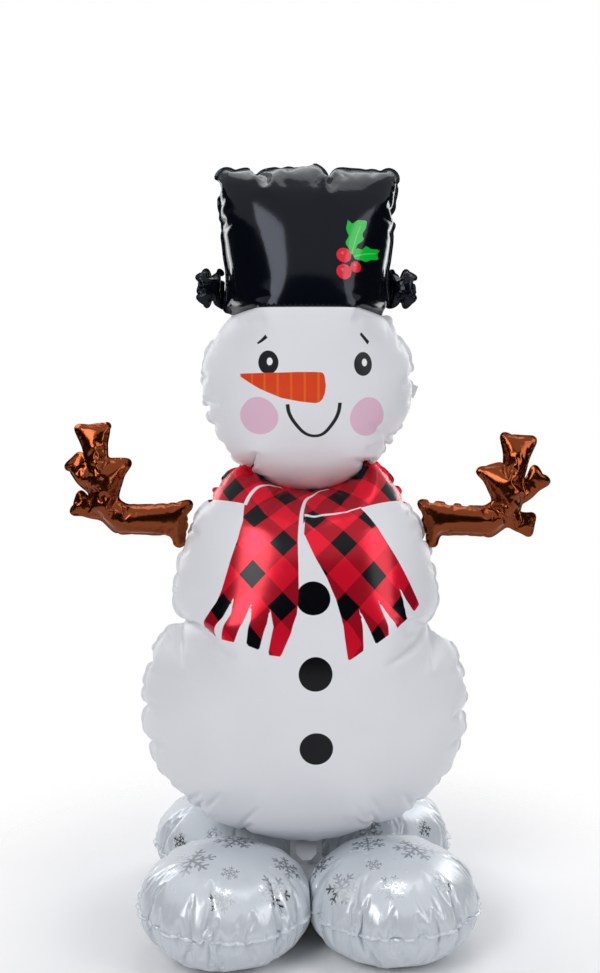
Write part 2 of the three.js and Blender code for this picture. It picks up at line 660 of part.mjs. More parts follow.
// ---------------------------------------------------------------- assembly
const snowman = new THREE.Group();
snowman.name = "foil_snowman";
for (const sideY of [-1, 1]) {
  for (const sideX of [-1, 1]) snowman.add(cushion(sideX, sideY));
}
const { base, figure } = straps();
snowman.add(centreWeb(), ballastBag(), base, figure, body(), fillTail(), headAndHat());
for (const side of [-1, 1]) {
  snowman.add(arm(side, side < 0 ? ARM.left : ARM.right), brimEnd(side));
}

export default snowman;
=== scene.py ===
"""An air-filled foil snowman: film chambers inflated from their flat cuts, dressed and lit.

The object's frame is in metres, with +Z up, the front towards -Y and the floor at z = 0. Left and
right are as a viewer in front sees them, so left is -X.
"""
import json
import logging
import math
from dataclasses import dataclass, field
from enum import Enum
from typing import Callable, ClassVar, Optional

import bpy
import numpy as np
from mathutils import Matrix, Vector
from mathutils.geometry import delaunay_2d_cdt

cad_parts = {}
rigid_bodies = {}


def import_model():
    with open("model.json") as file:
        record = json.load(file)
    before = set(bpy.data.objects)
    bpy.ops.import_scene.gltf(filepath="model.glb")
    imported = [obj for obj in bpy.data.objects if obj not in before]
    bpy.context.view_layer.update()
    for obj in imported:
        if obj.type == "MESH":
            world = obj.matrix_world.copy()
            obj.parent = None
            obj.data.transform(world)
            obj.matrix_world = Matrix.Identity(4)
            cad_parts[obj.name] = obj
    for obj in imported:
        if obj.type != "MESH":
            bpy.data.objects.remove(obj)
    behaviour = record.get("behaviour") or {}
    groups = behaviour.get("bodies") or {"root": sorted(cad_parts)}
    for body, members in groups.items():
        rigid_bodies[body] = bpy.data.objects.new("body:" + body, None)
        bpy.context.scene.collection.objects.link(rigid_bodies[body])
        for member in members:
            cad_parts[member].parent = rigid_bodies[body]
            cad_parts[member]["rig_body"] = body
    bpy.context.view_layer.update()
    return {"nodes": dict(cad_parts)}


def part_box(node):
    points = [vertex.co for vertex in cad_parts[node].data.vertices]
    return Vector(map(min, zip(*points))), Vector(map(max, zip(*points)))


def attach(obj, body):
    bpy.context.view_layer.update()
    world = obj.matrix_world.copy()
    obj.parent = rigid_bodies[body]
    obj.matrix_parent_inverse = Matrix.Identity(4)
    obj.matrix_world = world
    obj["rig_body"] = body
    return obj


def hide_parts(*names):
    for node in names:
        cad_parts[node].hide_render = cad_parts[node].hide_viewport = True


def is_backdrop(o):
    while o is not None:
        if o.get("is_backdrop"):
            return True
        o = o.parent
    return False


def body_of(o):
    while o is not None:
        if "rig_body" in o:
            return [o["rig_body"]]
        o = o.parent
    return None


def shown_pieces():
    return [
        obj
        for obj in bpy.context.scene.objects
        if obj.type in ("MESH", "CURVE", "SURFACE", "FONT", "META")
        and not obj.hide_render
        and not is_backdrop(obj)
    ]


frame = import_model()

log = logging.getLogger("foil_snowman")

Array = np.ndarray
Socket = bpy.types.NodeSocket

MM = 0.001
# Film points nearer than MERGE are one point, and those nearer than ON_LINE to a seam lie on it.
MERGE = 1e-6
ON_LINE = 1e-5
# Keep a division from failing: a squared length in square metres, and a length or weight.
TINY_SQUARE = 1e-18
TINY = 1e-12
# What an artwork's distance is, in millimetres, where nothing is printed.
FAR = 99.0


# ------------------------------------------------------------------ plane curves
def resample(points: Array, step: float, closed: bool = True) -> Array:
    """Spread points evenly along a polyline.

    Args:
        points: The polyline, one (x, z) row for each point.
        step: The wanted distance between points.
        closed: Whether the last point joins the first.

    Returns:
        The new points. Their spacing is the length over a whole number of steps.
    """
    line = np.vstack([points, points[:1]]) if closed else points
    run = np.concatenate([[0.0], np.cumsum(np.hypot(*np.diff(line, axis=0).T))])
    count = max(3, int(round(run[-1] / step)))
    at = np.linspace(0.0, run[-1], count + 1)
    if closed:
        at = at[:-1]
    return np.column_stack([np.interp(at, run, line[:, 0]), np.interp(at, run, line[:, 1])])


def side_distance(points: Array, start: Array, end: Array) -> tuple[Array, Array]:
    """Distance from points to one straight side, by projecting on it and keeping within its ends.

    Args:
        points: Rows of (x, z).
        start: The side's first end.
        end: Its other end.

    Returns:
        The distances, and the share of the side, from 0 to 1, at which the nearest spot lies.
    """
    dx, dz = end - start
    px, pz = points[:, 0] - start[0], points[:, 1] - start[1]
    along = np.clip((px * dx + pz * dz) / max(dx * dx + dz * dz, TINY_SQUARE), 0.0, 1.0)
    return np.hypot(px - along * dx, pz - along * dz), along


def signed_distance(points: Array, outline: Array) -> Array:
    """Distance from each point to a closed outline, negative inside.

    A point is inside where a level ray from it crosses the outline an odd number of times.

    Args:
        points: Rows of (x, z).
        outline: The corners of the outline in order.

    Returns:
        One distance for each point.
    """
    best = np.full(len(points), np.inf)
    odd = np.zeros(len(points), dtype=bool)
    for start, end in zip(outline, np.roll(outline, -1, axis=0)):
        best = np.minimum(best, side_distance(points, start, end)[0])
        dx, dz = end - start
        if dz:
            px, pz = points[:, 0] - start[0], points[:, 1] - start[1]
            crossed = (start[1] > points[:, 1]) != (end[1] > points[:, 1])
            odd ^= crossed & (px < pz * dx / dz)
    return np.where(odd, -best, best)


def rim_measure(points: Array, outline: Array) -> Array:
    """How far each point is from a closed outline, and how far along it the nearest point lies.

    Args:
        points: Rows of (x, z).
        outline: The corners of the outline in order.

    Returns:
        Rows of (distance, run along the outline, 0).
    """
    ends = np.roll(outline, -1, axis=0)
    lengths = np.hypot(*(ends - outline).T)
    runs = np.concatenate([[0.0], np.cumsum(lengths)])
    best, place = np.full(len(points), np.inf), np.zeros(len(points))
    for run, length, start, end in zip(runs, lengths, outline, ends):
        distance, along = side_distance(points, start, end)
        nearer = distance < best
        best = np.where(nearer, distance, best)
        place = np.where(nearer, run + along * length, place)
    return np.column_stack([best, place, np.zeros(len(points))])


def line_distance(points: Array, line: Array) -> Array:
    """Distance from each point to an open polyline, the least of those to its sides."""
    best = np.full(len(points), np.inf)
    for start, end in zip(line[:-1], line[1:]):
        best = np.minimum(best, side_distance(points, start, end)[0])
    return best


def ring_edges(count: int, first: int = 0) -> list[list[int]]:
    """The edges of a ring of points that are numbered from first."""
    ring = np.arange(count) + first
    return np.column_stack([ring, np.roll(ring, -1)]).tolist()


def triangulated(spots: Array, edges: list[list[int]]) -> tuple[Array, Array]:
    """Fill closed outlines with Delaunay triangles that keep given edges.

    A triangle is turned round where the cross product of two of its sides is negative, so that all
    run the same way.

    Args:
        spots: Rows of (x, z).
        edges: Pairs of spots that the triangles keep as sides.

    Returns:
        The spots, merged where they meet, and the triangles.
    """
    given = [Vector(row) for row in spots.tolist()]
    made = delaunay_2d_cdt(given, edges, [], 1, MERGE)
    flat = np.array([tuple(spot) for spot in made[0]])
    faces = np.array(made[2])
    corner = flat[faces]
    first, second = corner[:, 1] - corner[:, 0], corner[:, 2] - corner[:, 0]
    turns = first[:, 0] * second[:, 1] - first[:, 1] * second[:, 0]
    return flat, np.where((turns > 0)[:, None], faces, faces[:, ::-1])


def smooth_curve(points: tuple[tuple[float, float], ...], per_span: int) -> Array:
    """A Catmull-Rom curve: each span is the cubic set by its two ends and their neighbours.

    Args:
        points: The points that the curve passes through.
        per_span: How many points to make in each span.

    Returns:
        Rows of (x, z) along the curve.
    """
    p = np.array(points, dtype=float)
    before = np.vstack([2 * p[0] - p[1], p[:-1]])
    after = np.vstack([p[1:], 2 * p[-1] - p[-2]])
    beyond = np.vstack([after[1:], after[-1:]])
    t = np.linspace(0.0, 1.0, per_span, endpoint=False)[:, None]
    a, b, c, d = (rows[:-1, None] for rows in (before, p, after, beyond))
    curve = b + 0.5 * t * ((c - a) + t * ((2 * a - 5 * b + 4 * c - d) + t * (3 * (b - c) + d - a)))
    return np.vstack([curve.reshape(-1, 2), p[-1:]])


# ------------------------------------------------------------------ inflating film
@dataclass
class FilmBag:
    """Two plies of film cut alike, sealed round their rim and along welds, and blown up.

    Attributes:
        name: What the bag is called while it is simulated.
        rim: The closed outline that the plies are cut to.
        step: Distance between the film's mesh points, in metres.
        frames: How many frames the air is let in for.
        welds: Open lines inside the cut, where both plies are sealed together.
        guides: Open lines that the mesh follows without a seal, such as a printed edge.
        seed: Seeds the tiny unevenness that lets the film buckle.
        flat: Where each point lies on the flat film, rows of (x, z).
        points: The film's points, rows of (x, y, z).
        front: The front ply's triangles, outward.
        back: The back ply's triangles, outward. Both plies share the rim's points.
    """

    # Grid points keep this share of a step from every line.
    CLEARANCE: ClassVar[float] = 0.6
    # How far each ply starts from the middle plane, and the spread of its unevenness.
    PARTED: ClassVar[float] = 1.0 * MM
    UNEVEN: ClassVar[float] = 0.2 * MM
    PRESSURE: ClassVar[float] = 2000.0

    name: str
    rim: Array
    step: float
    frames: int
    welds: list[Array] = field(default_factory=list)
    guides: list[Array] = field(default_factory=list)
    seed: int = 3
    flat: Array = field(init=False)
    points: Array = field(init=False)
    front: Array = field(init=False)
    back: Array = field(init=False)

    def cut(self) -> None:
        """Mesh the plies: an even triangular grid inside the cut, fitted to rim and welds."""
        edges = ring_edges(len(self.rim))
        count = len(self.rim)
        lines = self.welds + self.guides
        for line in lines:
            chain = np.arange(len(line)) + count
            edges += np.column_stack([chain[:-1], chain[1:]]).tolist()
            count += len(line)
        marks = np.vstack([self.rim, *lines])
        low, high = marks.min(0) - self.step, marks.max(0) + self.step
        x = np.arange(low[0], high[0], self.step)
        z = np.arange(low[1], high[1], self.step * math.sqrt(3) / 2)
        across, up = np.meshgrid(x, z)
        across = across + (np.arange(len(z)) % 2)[:, None] * self.step / 2
        grid = np.column_stack([across.ravel(), up.ravel()])
        clear = -signed_distance(grid, self.rim)
        for line in lines:
            clear = np.minimum(clear, line_distance(grid, line))
        grid = grid[clear > self.CLEARANCE * self.step]
        flat, faces = triangulated(np.vstack([marks, grid]), edges)
        sealed = np.abs(signed_distance(flat, self.rim)) < ON_LINE
        for weld in self.welds:
            sealed |= line_distance(flat, weld) < ON_LINE
        twin = np.arange(len(flat))
        free = np.flatnonzero(~sealed)
        twin[free] = len(flat) + np.arange(len(free))
        self.front = faces
        self.back = twin[faces][:, ::-1]
        self.flat = np.vstack([flat, flat[free]])
        uneven = np.random.default_rng(self.seed).normal(0.0, self.UNEVEN, len(self.flat))
        lift = np.zeros(len(self.flat))
        lift[free] = -self.PARTED
        lift[len(flat):] = self.PARTED
        self.points = np.column_stack([self.flat[:, 0], uneven + lift, self.flat[:, 1]])

    def inflate(self) -> None:
        """Let air in with Blender's cloth solver: film hardly stretches, but buckles freely."""
        mesh = bpy.data.meshes.new(self.name)
        mesh.from_pydata(self.points.tolist(), [], np.vstack([self.front, self.back]).tolist())
        bag = bpy.data.objects.new(self.name, mesh)
        scene = bpy.context.scene
        scene.collection.objects.link(bag)
        cloth = bag.modifiers.new("air", "CLOTH")
        film = cloth.settings
        film.quality = 5
        film.mass = 0.1
        film.tension_stiffness = 400.0
        film.compression_stiffness = 60.0
        film.shear_stiffness = 60.0
        film.bending_stiffness = 0.0
        film.use_pressure = True
        film.uniform_pressure_force = self.PRESSURE
        film.effector_weights.gravity = 0.0
        cloth.point_cache.frame_start = 1
        cloth.point_cache.frame_end = self.frames
        for number in range(1, self.frames + 1):
            scene.frame_set(number)
        blown = bag.evaluated_get(bpy.context.evaluated_depsgraph_get()).to_mesh()
        flat = np.empty(len(self.points) * 3)
        blown.vertices.foreach_get("co", flat)
        self.points = flat.reshape(-1, 3)
        bpy.data.objects.remove(bag)
        bpy.data.meshes.remove(mesh)
        scene.frame_set(1)

    def blow_up(self) -> "FilmBag":
        """Cut and inflate the bag, and return it."""
        self.cut()
        self.inflate()
        log.info("%s: %d points of film", self.name, len(self.points))
        return self

    def on_rim(self) -> Array:
        """Which points are on the front ply's edge, where it is sealed."""
        found = np.zeros(len(self.points), dtype=bool)
        found[boundary(self.front).ravel()] = True
        return found


@dataclass(frozen=True)
class Hem:
    """The flat sealed strip outside a rim.

    Attributes:
        width: How far it stands out, as a function of the rim's points, in metres.
        thickness: Both plies together.
    """

    # How often its direction is averaged, and the weight of each of the two neighbours.
    AVERAGINGS: ClassVar[int] = 3
    NEIGHBOURS: ClassVar[float] = 0.6

    width: Callable[[Array], Array]
    thickness: float = 0.6 * MM


def boundary(faces: Array) -> Array:
    """The directed edges (a, b) that only one of these faces has, in that face's own direction."""
    edges = np.vstack([faces[:, [0, 1]], faces[:, [1, 2]], faces[:, [2, 0]]])
    size = int(faces.max()) + 1
    forward = edges[:, 0] * size + edges[:, 1]
    reverse = edges[:, 1] * size + edges[:, 0]
    return edges[~np.isin(forward, reverse)]


def unit(rows: Array) -> Array:
    """Rows scaled to length one."""
    return rows / (np.linalg.norm(rows, axis=1, keepdims=True) + TINY)


def closed_chamber(
    points: Array, front: Array, back: Array, hem: Hem
) -> tuple[Array, Array, list[list[int]]]:
    """Part the plies at their seam and close the gap with a hem, as one closed skin.

    At each rim point the hem's outward direction is away from the middle of the faces round it,
    averaged with its neighbours' and squared to the rim's own direction. The seam's normal is the
    cross product of the outward direction and the rim's.

    Args:
        points: Rows of (x, y, z).
        front: The front ply's triangles, outward.
        back: The back ply's triangles, outward. Both plies share the rim's points.
        hem: The strip to add.

    Returns:
        The new points, the index of the old point that each comes from, and the faces.
    """
    edges = boundary(front)
    rim = edges[:, 0]
    following = np.zeros(len(points), dtype=int)
    leading = np.zeros(len(points), dtype=int)
    following[edges[:, 0]] = edges[:, 1]
    leading[edges[:, 1]] = edges[:, 0]
    pull = np.zeros_like(points)
    for faces in (front, back):
        middle = points[faces].mean(1)
        for column in range(3):
            np.add.at(pull, faces[:, column], middle - points[faces[:, column]])
    along = points[following[rim]] - points[leading[rim]]
    along /= np.linalg.norm(along, axis=1, keepdims=True)
    outward = np.zeros_like(points)
    outward[rim] = -pull[rim]
    for _ in range(hem.AVERAGINGS):
        outward[rim] = unit(outward[rim])
        beside = outward[following[rim]] + outward[leading[rim]]
        outward[rim] = outward[rim] + hem.NEIGHBOURS * beside
    out = unit(outward[rim] - along * (outward[rim] * along).sum(1, keepdims=True))
    across = np.cross(out, along)
    across *= np.where(across[:, 1:2] < 0, -1.0, 1.0)
    half = across * hem.thickness / 2
    reach = out * hem.width(points[rim])[:, None]
    used_front, used_back = np.unique(front), np.unique(back)
    on_rim = np.zeros(len(points), dtype=bool)
    on_rim[rim] = True
    free_front = used_front[~on_rim[used_front]]
    free_back = used_back[~on_rim[used_back] & ~np.isin(used_back, free_front)]
    count = len(free_front) + len(free_back)
    place_front = np.full(len(points), -1)
    place_back = np.full(len(points), -1)
    place_front[free_front] = np.arange(len(free_front))
    place_back[free_back] = len(free_front) + np.arange(len(free_back))
    shared = np.isin(used_back, free_front)
    place_back[used_back[shared]] = place_front[used_back[shared]]
    rings = [count + k * len(rim) + np.arange(len(rim)) for k in range(4)]
    place_front[rim], place_back[rim] = rings[0], rings[3]
    seam = points[rim]
    moved = np.vstack([
        points[free_front], points[free_back],
        seam - half, seam + reach - half, seam + reach + half, seam + half,
    ])
    source = np.concatenate([free_front, free_back, rim, rim, rim, rim])
    order = np.full(len(points), -1)
    order[rim] = np.arange(len(rim))
    here, there = order[edges[:, 0]], order[edges[:, 1]]
    strips = [
        np.column_stack([a[there], a[here], b[here], b[there]]) for a, b in zip(rings, rings[1:])
    ]
    faces = place_front[front].tolist() + place_back[back].tolist() + np.vstack(strips).tolist()
    return moved, source, faces


def build_object(name: str, points: Array, faces: list[list[int]]) -> bpy.types.Object:
    """Make a smooth-shaded object at the origin, with its place in its mesh.

    Args:
        name: The object's name.
        points: Rows of (x, y, z) in metres.
        faces: Point indices for each face, outward.

    Returns:
        The object, linked to the scene.
    """
    mesh = bpy.data.meshes.new(name)
    mesh.from_pydata(points.tolist(), [], faces)
    mesh.update()
    item = bpy.data.objects.new(name, mesh)
    bpy.context.scene.collection.objects.link(item)
    mesh.polygons.foreach_set("use_smooth", np.ones(len(mesh.polygons), dtype=bool))
    return item


def mesh_points(mesh: bpy.types.Mesh) -> Array:
    """The points of a mesh, as rows of (x, y, z)."""
    flat = np.empty(len(mesh.vertices) * 3)
    mesh.vertices.foreach_get("co", flat)
    return flat.reshape(-1, 3)


def store(item: bpy.types.Object, name: str, values: Array) -> None:
    """Keep one number for each point of an object's mesh, for its material to read."""
    layer = item.data.attributes.new(name, "FLOAT", "POINT")
    layer.data.foreach_set("value", values.astype(np.float32))


def store_vector(item: bpy.types.Object, name: str, rows: Array, domain: str = "POINT") -> None:
    """Keep a vector for each point or corner of an object's mesh, for its material to read."""
    layer = item.data.attributes.new(name, "FLOAT_VECTOR", domain)
    layer.data.foreach_set("vector", rows.astype(np.float32).ravel())


def keep_cut(item: bpy.types.Object, cut: Array) -> None:
    """Keep each point's place on the flat film, in millimetres, as a vector (x, z, 0)."""
    store_vector(item, "cut", np.column_stack([cut / MM, np.zeros(len(cut))]))


def cut_of(mesh: bpy.types.Mesh) -> Array:
    """Where each point of a mesh lies on the flat film, rows of (x, z) in millimetres."""
    flat = np.empty(len(mesh.vertices) * 3, dtype=np.float32)
    mesh.attributes["cut"].data.foreach_get("vector", flat)
    return flat.reshape(-1, 3)[:, :2].astype(float)


def keep_rim(item: bpy.types.Object, outline: Array) -> None:
    """Keep each point's distance from the seam and its place along it, in millimetres.

    Every other point of the outline is enough for that.
    """
    store_vector(item, "rim", rim_measure(cut_of(item.data), outline[::2] / MM))


def film_piece(
    name: str, points: Array, faces: list[list[int]], cut: Array, outline: Array
) -> bpy.types.Object:
    """Make a piece of film that keeps its place on the flat cut and from the seam.

    Args:
        name: The piece's name.
        points: Rows of (x, y, z) in metres.
        faces: Point indices for each face, outward.
        cut: Where each point lies on the flat film, in metres.
        outline: The flat cut's outline.

    Returns:
        The piece, linked to the scene.
    """
    item = build_object(name, points, faces)
    keep_cut(item, cut)
    keep_rim(item, outline)
    return item


def refined(
    points: Array, faces: list[list[int]], cut: Array, tags: Optional[Array] = None
) -> tuple[Array, Array, Array, Array]:
    """Subdivide a skin once with Catmull-Clark, keeping a whole number for each face.

    Args:
        points: Rows of (x, y, z).
        faces: Point indices for each face.
        cut: Where each point lies on the flat film, rows of (x, z).
        tags: A small whole number for each face, carried to the faces made from it, or none.

    Returns:
        The new points, the new four-sided faces, the new points' places on the flat film and the
        new faces' tags.
    """
    item = build_object("refining", points, faces)
    keep_cut(item, cut)
    if tags is not None:
        for _ in range(int(tags.max()) + 1):
            item.data.materials.append(None)
        item.data.polygons.foreach_set("material_index", tags.astype(np.int32))
    finer = item.modifiers.new("refine", "SUBSURF")
    finer.levels = finer.render_levels = 1
    shown = item.evaluated_get(bpy.context.evaluated_depsgraph_get())
    fine = bpy.data.meshes.new_from_object(shown)
    place, flat = mesh_points(fine), cut_of(fine) * MM
    corners = np.empty(len(fine.loops), dtype=np.int32)
    fine.loops.foreach_get("vertex_index", corners)
    kept = np.empty(len(fine.polygons), dtype=np.int32)
    fine.polygons.foreach_get("material_index", kept)
    coarse = item.data
    bpy.data.objects.remove(item)
    bpy.data.meshes.remove(coarse)
    bpy.data.meshes.remove(fine)
    return place, corners.reshape(-1, 4), flat, kept


def closed_part(
    points: Array, faces: Array, keep: Array, cut: Array
) -> tuple[Array, list[list[int]], int, Array]:
    """Take some faces of a skin and close what this opens with a fan round the opening's middle.

    Args:
        points: Rows of (x, y, z).
        faces: Four-sided faces.
        keep: True for the faces to take.
        cut: Where each point lies on the flat film.

    Returns:
        The part's points, its faces with the fan last, how many faces the fan has, and its points'
        places on the flat film.
    """
    chosen = faces[keep]
    used, inverse = np.unique(chosen, return_inverse=True)
    chosen = inverse.reshape(-1, 4)
    part = points[used]
    edges = np.vstack([chosen[:, [k, (k + 1) % 4]] for k in range(4)])
    size = len(part)
    forward, reverse = edges[:, 0] * size + edges[:, 1], edges[:, 1] * size + edges[:, 0]
    opened = edges[~np.isin(forward, reverse)]
    ring = np.unique(opened)
    own = np.vstack([cut[used], cut[used][ring].mean(0)])
    fan = np.column_stack([opened[:, 1], opened[:, 0], np.full(len(opened), size)])
    return np.vstack([part, part[ring].mean(0)]), chosen.tolist() + fan.tolist(), len(fan), own


# ------------------------------------------------------------------ the figure: body, head and hat
@dataclass(frozen=True)
class Lobe:
    """One rounded lobe of the outline, an ellipse whose upper half may be taller.

    Attributes:
        middle: The height of its widest line.
        half_width: Half its width there.
        below: From the widest line down.
        above: From the widest line up.
    """

    middle: float
    half_width: float
    below: float
    above: float

    def at(self, turn: Array) -> Array:
        """Points of the ellipse: half width times the angle's cosine, height times its sine."""
        rise = np.where(np.sin(turn) < 0, self.below, self.above) * np.sin(turn)
        return np.column_stack([self.half_width * np.cos(turn), self.middle + rise])

    def holds(self, spot: Array) -> Array:
        """Whether points lie inside the ellipse."""
        height = np.where(spot[:, 1] < self.middle, self.below, self.above)
        across, up = spot[:, 0] / self.half_width, (spot[:, 1] - self.middle) / height
        return across**2 + up**2 < 1.0

    def turn_of(self, spot: Array) -> float:
        """The angle at which the ellipse passes a point of its lower half."""
        return math.atan2((spot[1] - self.middle) / self.below, spot[0] / self.half_width)


@dataclass
class Figure:
    """The tall chamber film: body below, head and hat above, welded to each other along the neck.

    The film is cut larger than the blown-up shape. cut_levels are heights on the blown-up shape,
    and at each of them cut_width and cut_height say how much wider and taller the flat film is.
    middle is the height from which the body's edge is worked out, and depth_scale is how much of
    the blown-up depth is kept. A hem is how far a sealed strip stands out.
    """

    belly: Lobe = Lobe(0.3909, 0.303, 0.252, 0.252)
    chest: Lobe = Lobe(0.5959, 0.243, 0.282, 0.282)
    head: Lobe = Lobe(0.9909, 0.192, 0.172, 0.190)
    middle: float = 0.4759
    hat_foot: tuple[float, float] = (0.141, 1.1299)
    hat_top: tuple[float, float] = (0.161, 1.3739)
    hat_corner: float = 0.012
    hat_crown: float = 0.013
    hat_dip: float = 0.006
    hem: float = 6 * MM
    neck_hem: float = 0.4 * MM
    depth_scale: float = 0.90
    cut_levels: tuple[float, ...] = (
        0.14, 0.28, 0.39, 0.53, 0.65, 0.78, 0.85,
        0.92, 1.0, 1.08, 1.13, 1.2, 1.30, 1.39,
    )
    cut_width: tuple[float, ...] = (
        1.229, 1.255, 1.283, 1.424, 1.355, 1.309, 1.356,
        1.305, 1.328, 1.407, 1.585, 1.454, 1.304, 1.091,
    )
    cut_height: tuple[float, ...] = (
        1.373, 1.224, 1.273, 1.329, 1.065, 1.348, 1.682,
        1.541, 1.114, 1.207, 1.131, 1.072, 1.141, 1.341,
    )
    body_film: Optional[bpy.types.Object] = None
    head_film: Optional[bpy.types.Object] = None
    hat_film: Optional[bpy.types.Object] = None

    def outline(self) -> tuple[Array, Array, Array]:
        """The right half of the blown-up outline, from the bottom's middle to the top's.

        The body's edge is the farther of two ellipses, belly and chest, seen from one middle
        point. It ends where it meets the head's ellipse, which goes on to the hat's straight side.
        The hat's top corner is a quarter circle and its top rises evenly to the middle.

        Returns:
            Rows of (x, z), the neck's corner and the hat's foot.
        """
        turn = np.linspace(math.pi, 0.0, 2000)
        reach = np.zeros_like(turn)
        for lobe in (self.belly, self.chest):
            s, c = np.sin(turn) / lobe.half_width, np.cos(turn) / lobe.below
            offset = (self.middle - lobe.middle) / lobe.below
            a, b = s * s + c * c, offset * c
            reach = np.maximum(reach, (-b + np.sqrt(b * b - a * (offset**2 - 1))) / a)
        side = np.column_stack([reach * np.sin(turn), self.middle + reach * np.cos(turn)])
        side = side[: int(np.argmax(self.head.holds(side)))]
        neck = side[-1]
        skull = self.head.at(np.linspace(self.head.turn_of(neck), math.pi / 2, 1500))
        lean = (self.hat_top[0] - self.hat_foot[0]) / (self.hat_top[1] - self.hat_foot[1])
        hat_x = self.hat_foot[0] + (skull[:, 1] - self.hat_foot[1]) * lean
        under = (skull[:, 1] < self.hat_foot[1] - 0.03) | (skull[:, 0] > hat_x)
        skull = skull[: int(np.argmax(~under))]
        foot = skull[-1]
        r = self.hat_corner
        rise = np.linspace(foot[1], self.hat_top[1] - r, 120)[1:]
        wall = np.column_stack([self.hat_foot[0] + (rise - self.hat_foot[1]) * lean, rise])
        bend = np.linspace(0.0, math.pi / 2, 20)[1:]
        inner = self.hat_top[0] - r
        corner = np.column_stack([inner + r * np.cos(bend), self.hat_top[1] - r + r * np.sin(bend)])
        run = np.linspace(inner, 0.0, 100)[1:]
        crown = self.hat_top[1] + self.hat_crown * (1 - run / self.hat_top[0])
        crown = np.column_stack([run, crown])
        return np.vstack([side, skull, wall, corner, crown]), neck, foot

    def hat_line(self, foot: Array, across: Array) -> Array:
        """The hat's lower edge: a shallow parabola from side to side that dips in the middle."""
        return np.column_stack([across, foot[1] - self.hat_dip * (1 - (across / foot[0]) ** 2)])

    def _rise(self) -> tuple[Array, Array]:
        """Blown-up heights and the flat one of each, the running sum of the cut's height."""
        z = np.linspace(0.1, 1.45, 2000)
        grow = np.interp(z, self.cut_levels, self.cut_height)
        return z, np.concatenate([[0.0], np.cumsum((grow[1:] + grow[:-1]) / 2 * np.diff(z))])

    def _flatten(self, spot: Array) -> Array:
        """Blown-up (x, z) to flat: x times the cut's width there, z by the running sum."""
        z, rise = self._rise()
        wide = np.interp(spot[:, 1], self.cut_levels, self.cut_width)
        return np.column_stack([spot[:, 0] * wide, np.interp(spot[:, 1], z, rise)])

    def _unflatten(self, spot: Array) -> Array:
        """The reverse of _flatten."""
        z, rise = self._rise()
        up = np.interp(spot[:, 1], rise, z)
        return np.column_stack([spot[:, 0] / np.interp(up, self.cut_levels, self.cut_width), up])

    def _pattern(self, step: float) -> tuple[Array, Array, Array]:
        """The flat cut's outline, the neck's weld and the hat's lower edge, evenly stepped."""
        half, neck, foot = self.outline()
        mirrored = half[::-1][1:-1] * [-1, 1]
        whole = np.vstack([half, mirrored])
        flat = self._flatten(whole)
        line = np.vstack([flat, flat[:1]])
        run = np.concatenate([[0.0], np.cumsum(np.hypot(*np.diff(line, axis=0).T))])
        at = np.linspace(0.0, run[-1], int(round(run[-1] / step)), endpoint=False)
        for corner in (neck, foot, neck * [-1, 1], foot * [-1, 1]):
            place = run[int(np.argmin(np.hypot(*(whole - corner).T)))]
            at[int(np.argmin(np.abs(at - place)))] = place
        rim = np.column_stack([np.interp(at, run, line[:, 0]), np.interp(at, run, line[:, 1])])
        start = self.head.turn_of(neck)
        weld = self._flatten(self.head.at(np.linspace(-math.pi - start, start, 400)))
        weld = resample(weld, step, closed=False)
        across = np.linspace(-foot[0], foot[0], 200)
        hat = resample(self._flatten(self.hat_line(foot, across)), step, closed=False)
        for line in (weld, hat):
            for end in (0, -1):
                line[end] = rim[int(np.argmin(np.hypot(*(rim - line[end]).T)))]
        return rim, weld, hat

    def _fit(self, points: Array, rim: Array, home: Array) -> Array:
        """Bring the blown-up film onto the outline with smooth changes of height, width and depth.

        Near-by rim points are averaged at a row of levels. Height then maps from the averaged
        blown-up heights to the outline's, and width is scaled by the ratio of the averaged widths.
        Last, the hat's top is raised by what its rim still lacks there.

        Args:
            points: Rows of (x, y, z).
            rim: Which points are on the rim.
            home: The (x, z) on the outline that each point belongs at.

        Returns:
            The new points.
        """
        put = points - [points[rim, 0].mean(), 0.0, 0.0]
        low, high = home[rim, 1].min(), home[rim, 1].max()
        levels = np.linspace(low, high, 24)
        nearness = np.exp(-(((home[rim, 1][None] - levels[:, None]) / 0.022) ** 2))
        weight = nearness * (np.abs(home[rim, 0]) > 0.03)[None] + TINY
        weight /= weight.sum(1, keepdims=True)
        old, new = weight @ put[rim, 2], weight @ home[rim, 1]
        old[0], old[-1] = put[rim, 2].min(), put[rim, 2].max()
        new[0], new[-1] = low, high
        order = np.argsort(old)
        z = np.interp(put[:, 2], old[order], np.maximum.accumulate(new[order]))
        wide = nearness * (np.abs(home[rim, 0]) > 0.07)[None] + TINY
        ratio = (wide @ np.abs(home[rim, 0])) / (wide @ np.abs(put[rim, 0]))
        x = put[:, 0] * np.interp(z, levels, ratio)
        crown = rim & (home[:, 1] > self.hat_top[1] - 0.004)
        stops = np.linspace(-self.hat_top[0], self.hat_top[0], 15)
        nearby = np.exp(-(((x[crown][None] - stops[:, None]) / 0.018) ** 2)) + 1e-9
        short = (nearby @ (home[crown, 1] - z[crown])) / nearby.sum(1)
        share = np.clip((z - (self.hat_top[1] - 0.11)) / 0.11, 0.0, 1.0) ** 2
        z = z + 0.85 * share * np.interp(x, stops, short)
        return np.column_stack([x, put[:, 1] * self.depth_scale, z])

    def build(self, coarse: bool) -> None:
        """Cut, weld, inflate, fit and part the film into body, head and hat."""
        step, frames = (0.0145, 16) if coarse else (0.0092, 20)
        rim, weld, hat = self._pattern(step)
        bag = FilmBag("figure_bag", rim, step, frames, [weld], [hat]).blow_up()
        home = self._unflatten(bag.flat)
        on_rim = np.abs(signed_distance(bag.flat, rim)) < ON_LINE
        points = self._fit(bag.points, on_rim, home)
        _, neck, foot = self.outline()

        def above_neck(faces: Array) -> Array:
            """Which faces belong to the head's chamber."""
            spot = home[faces].mean(1)
            return self.head.holds(spot) | (spot[:, 1] > self.head.middle)

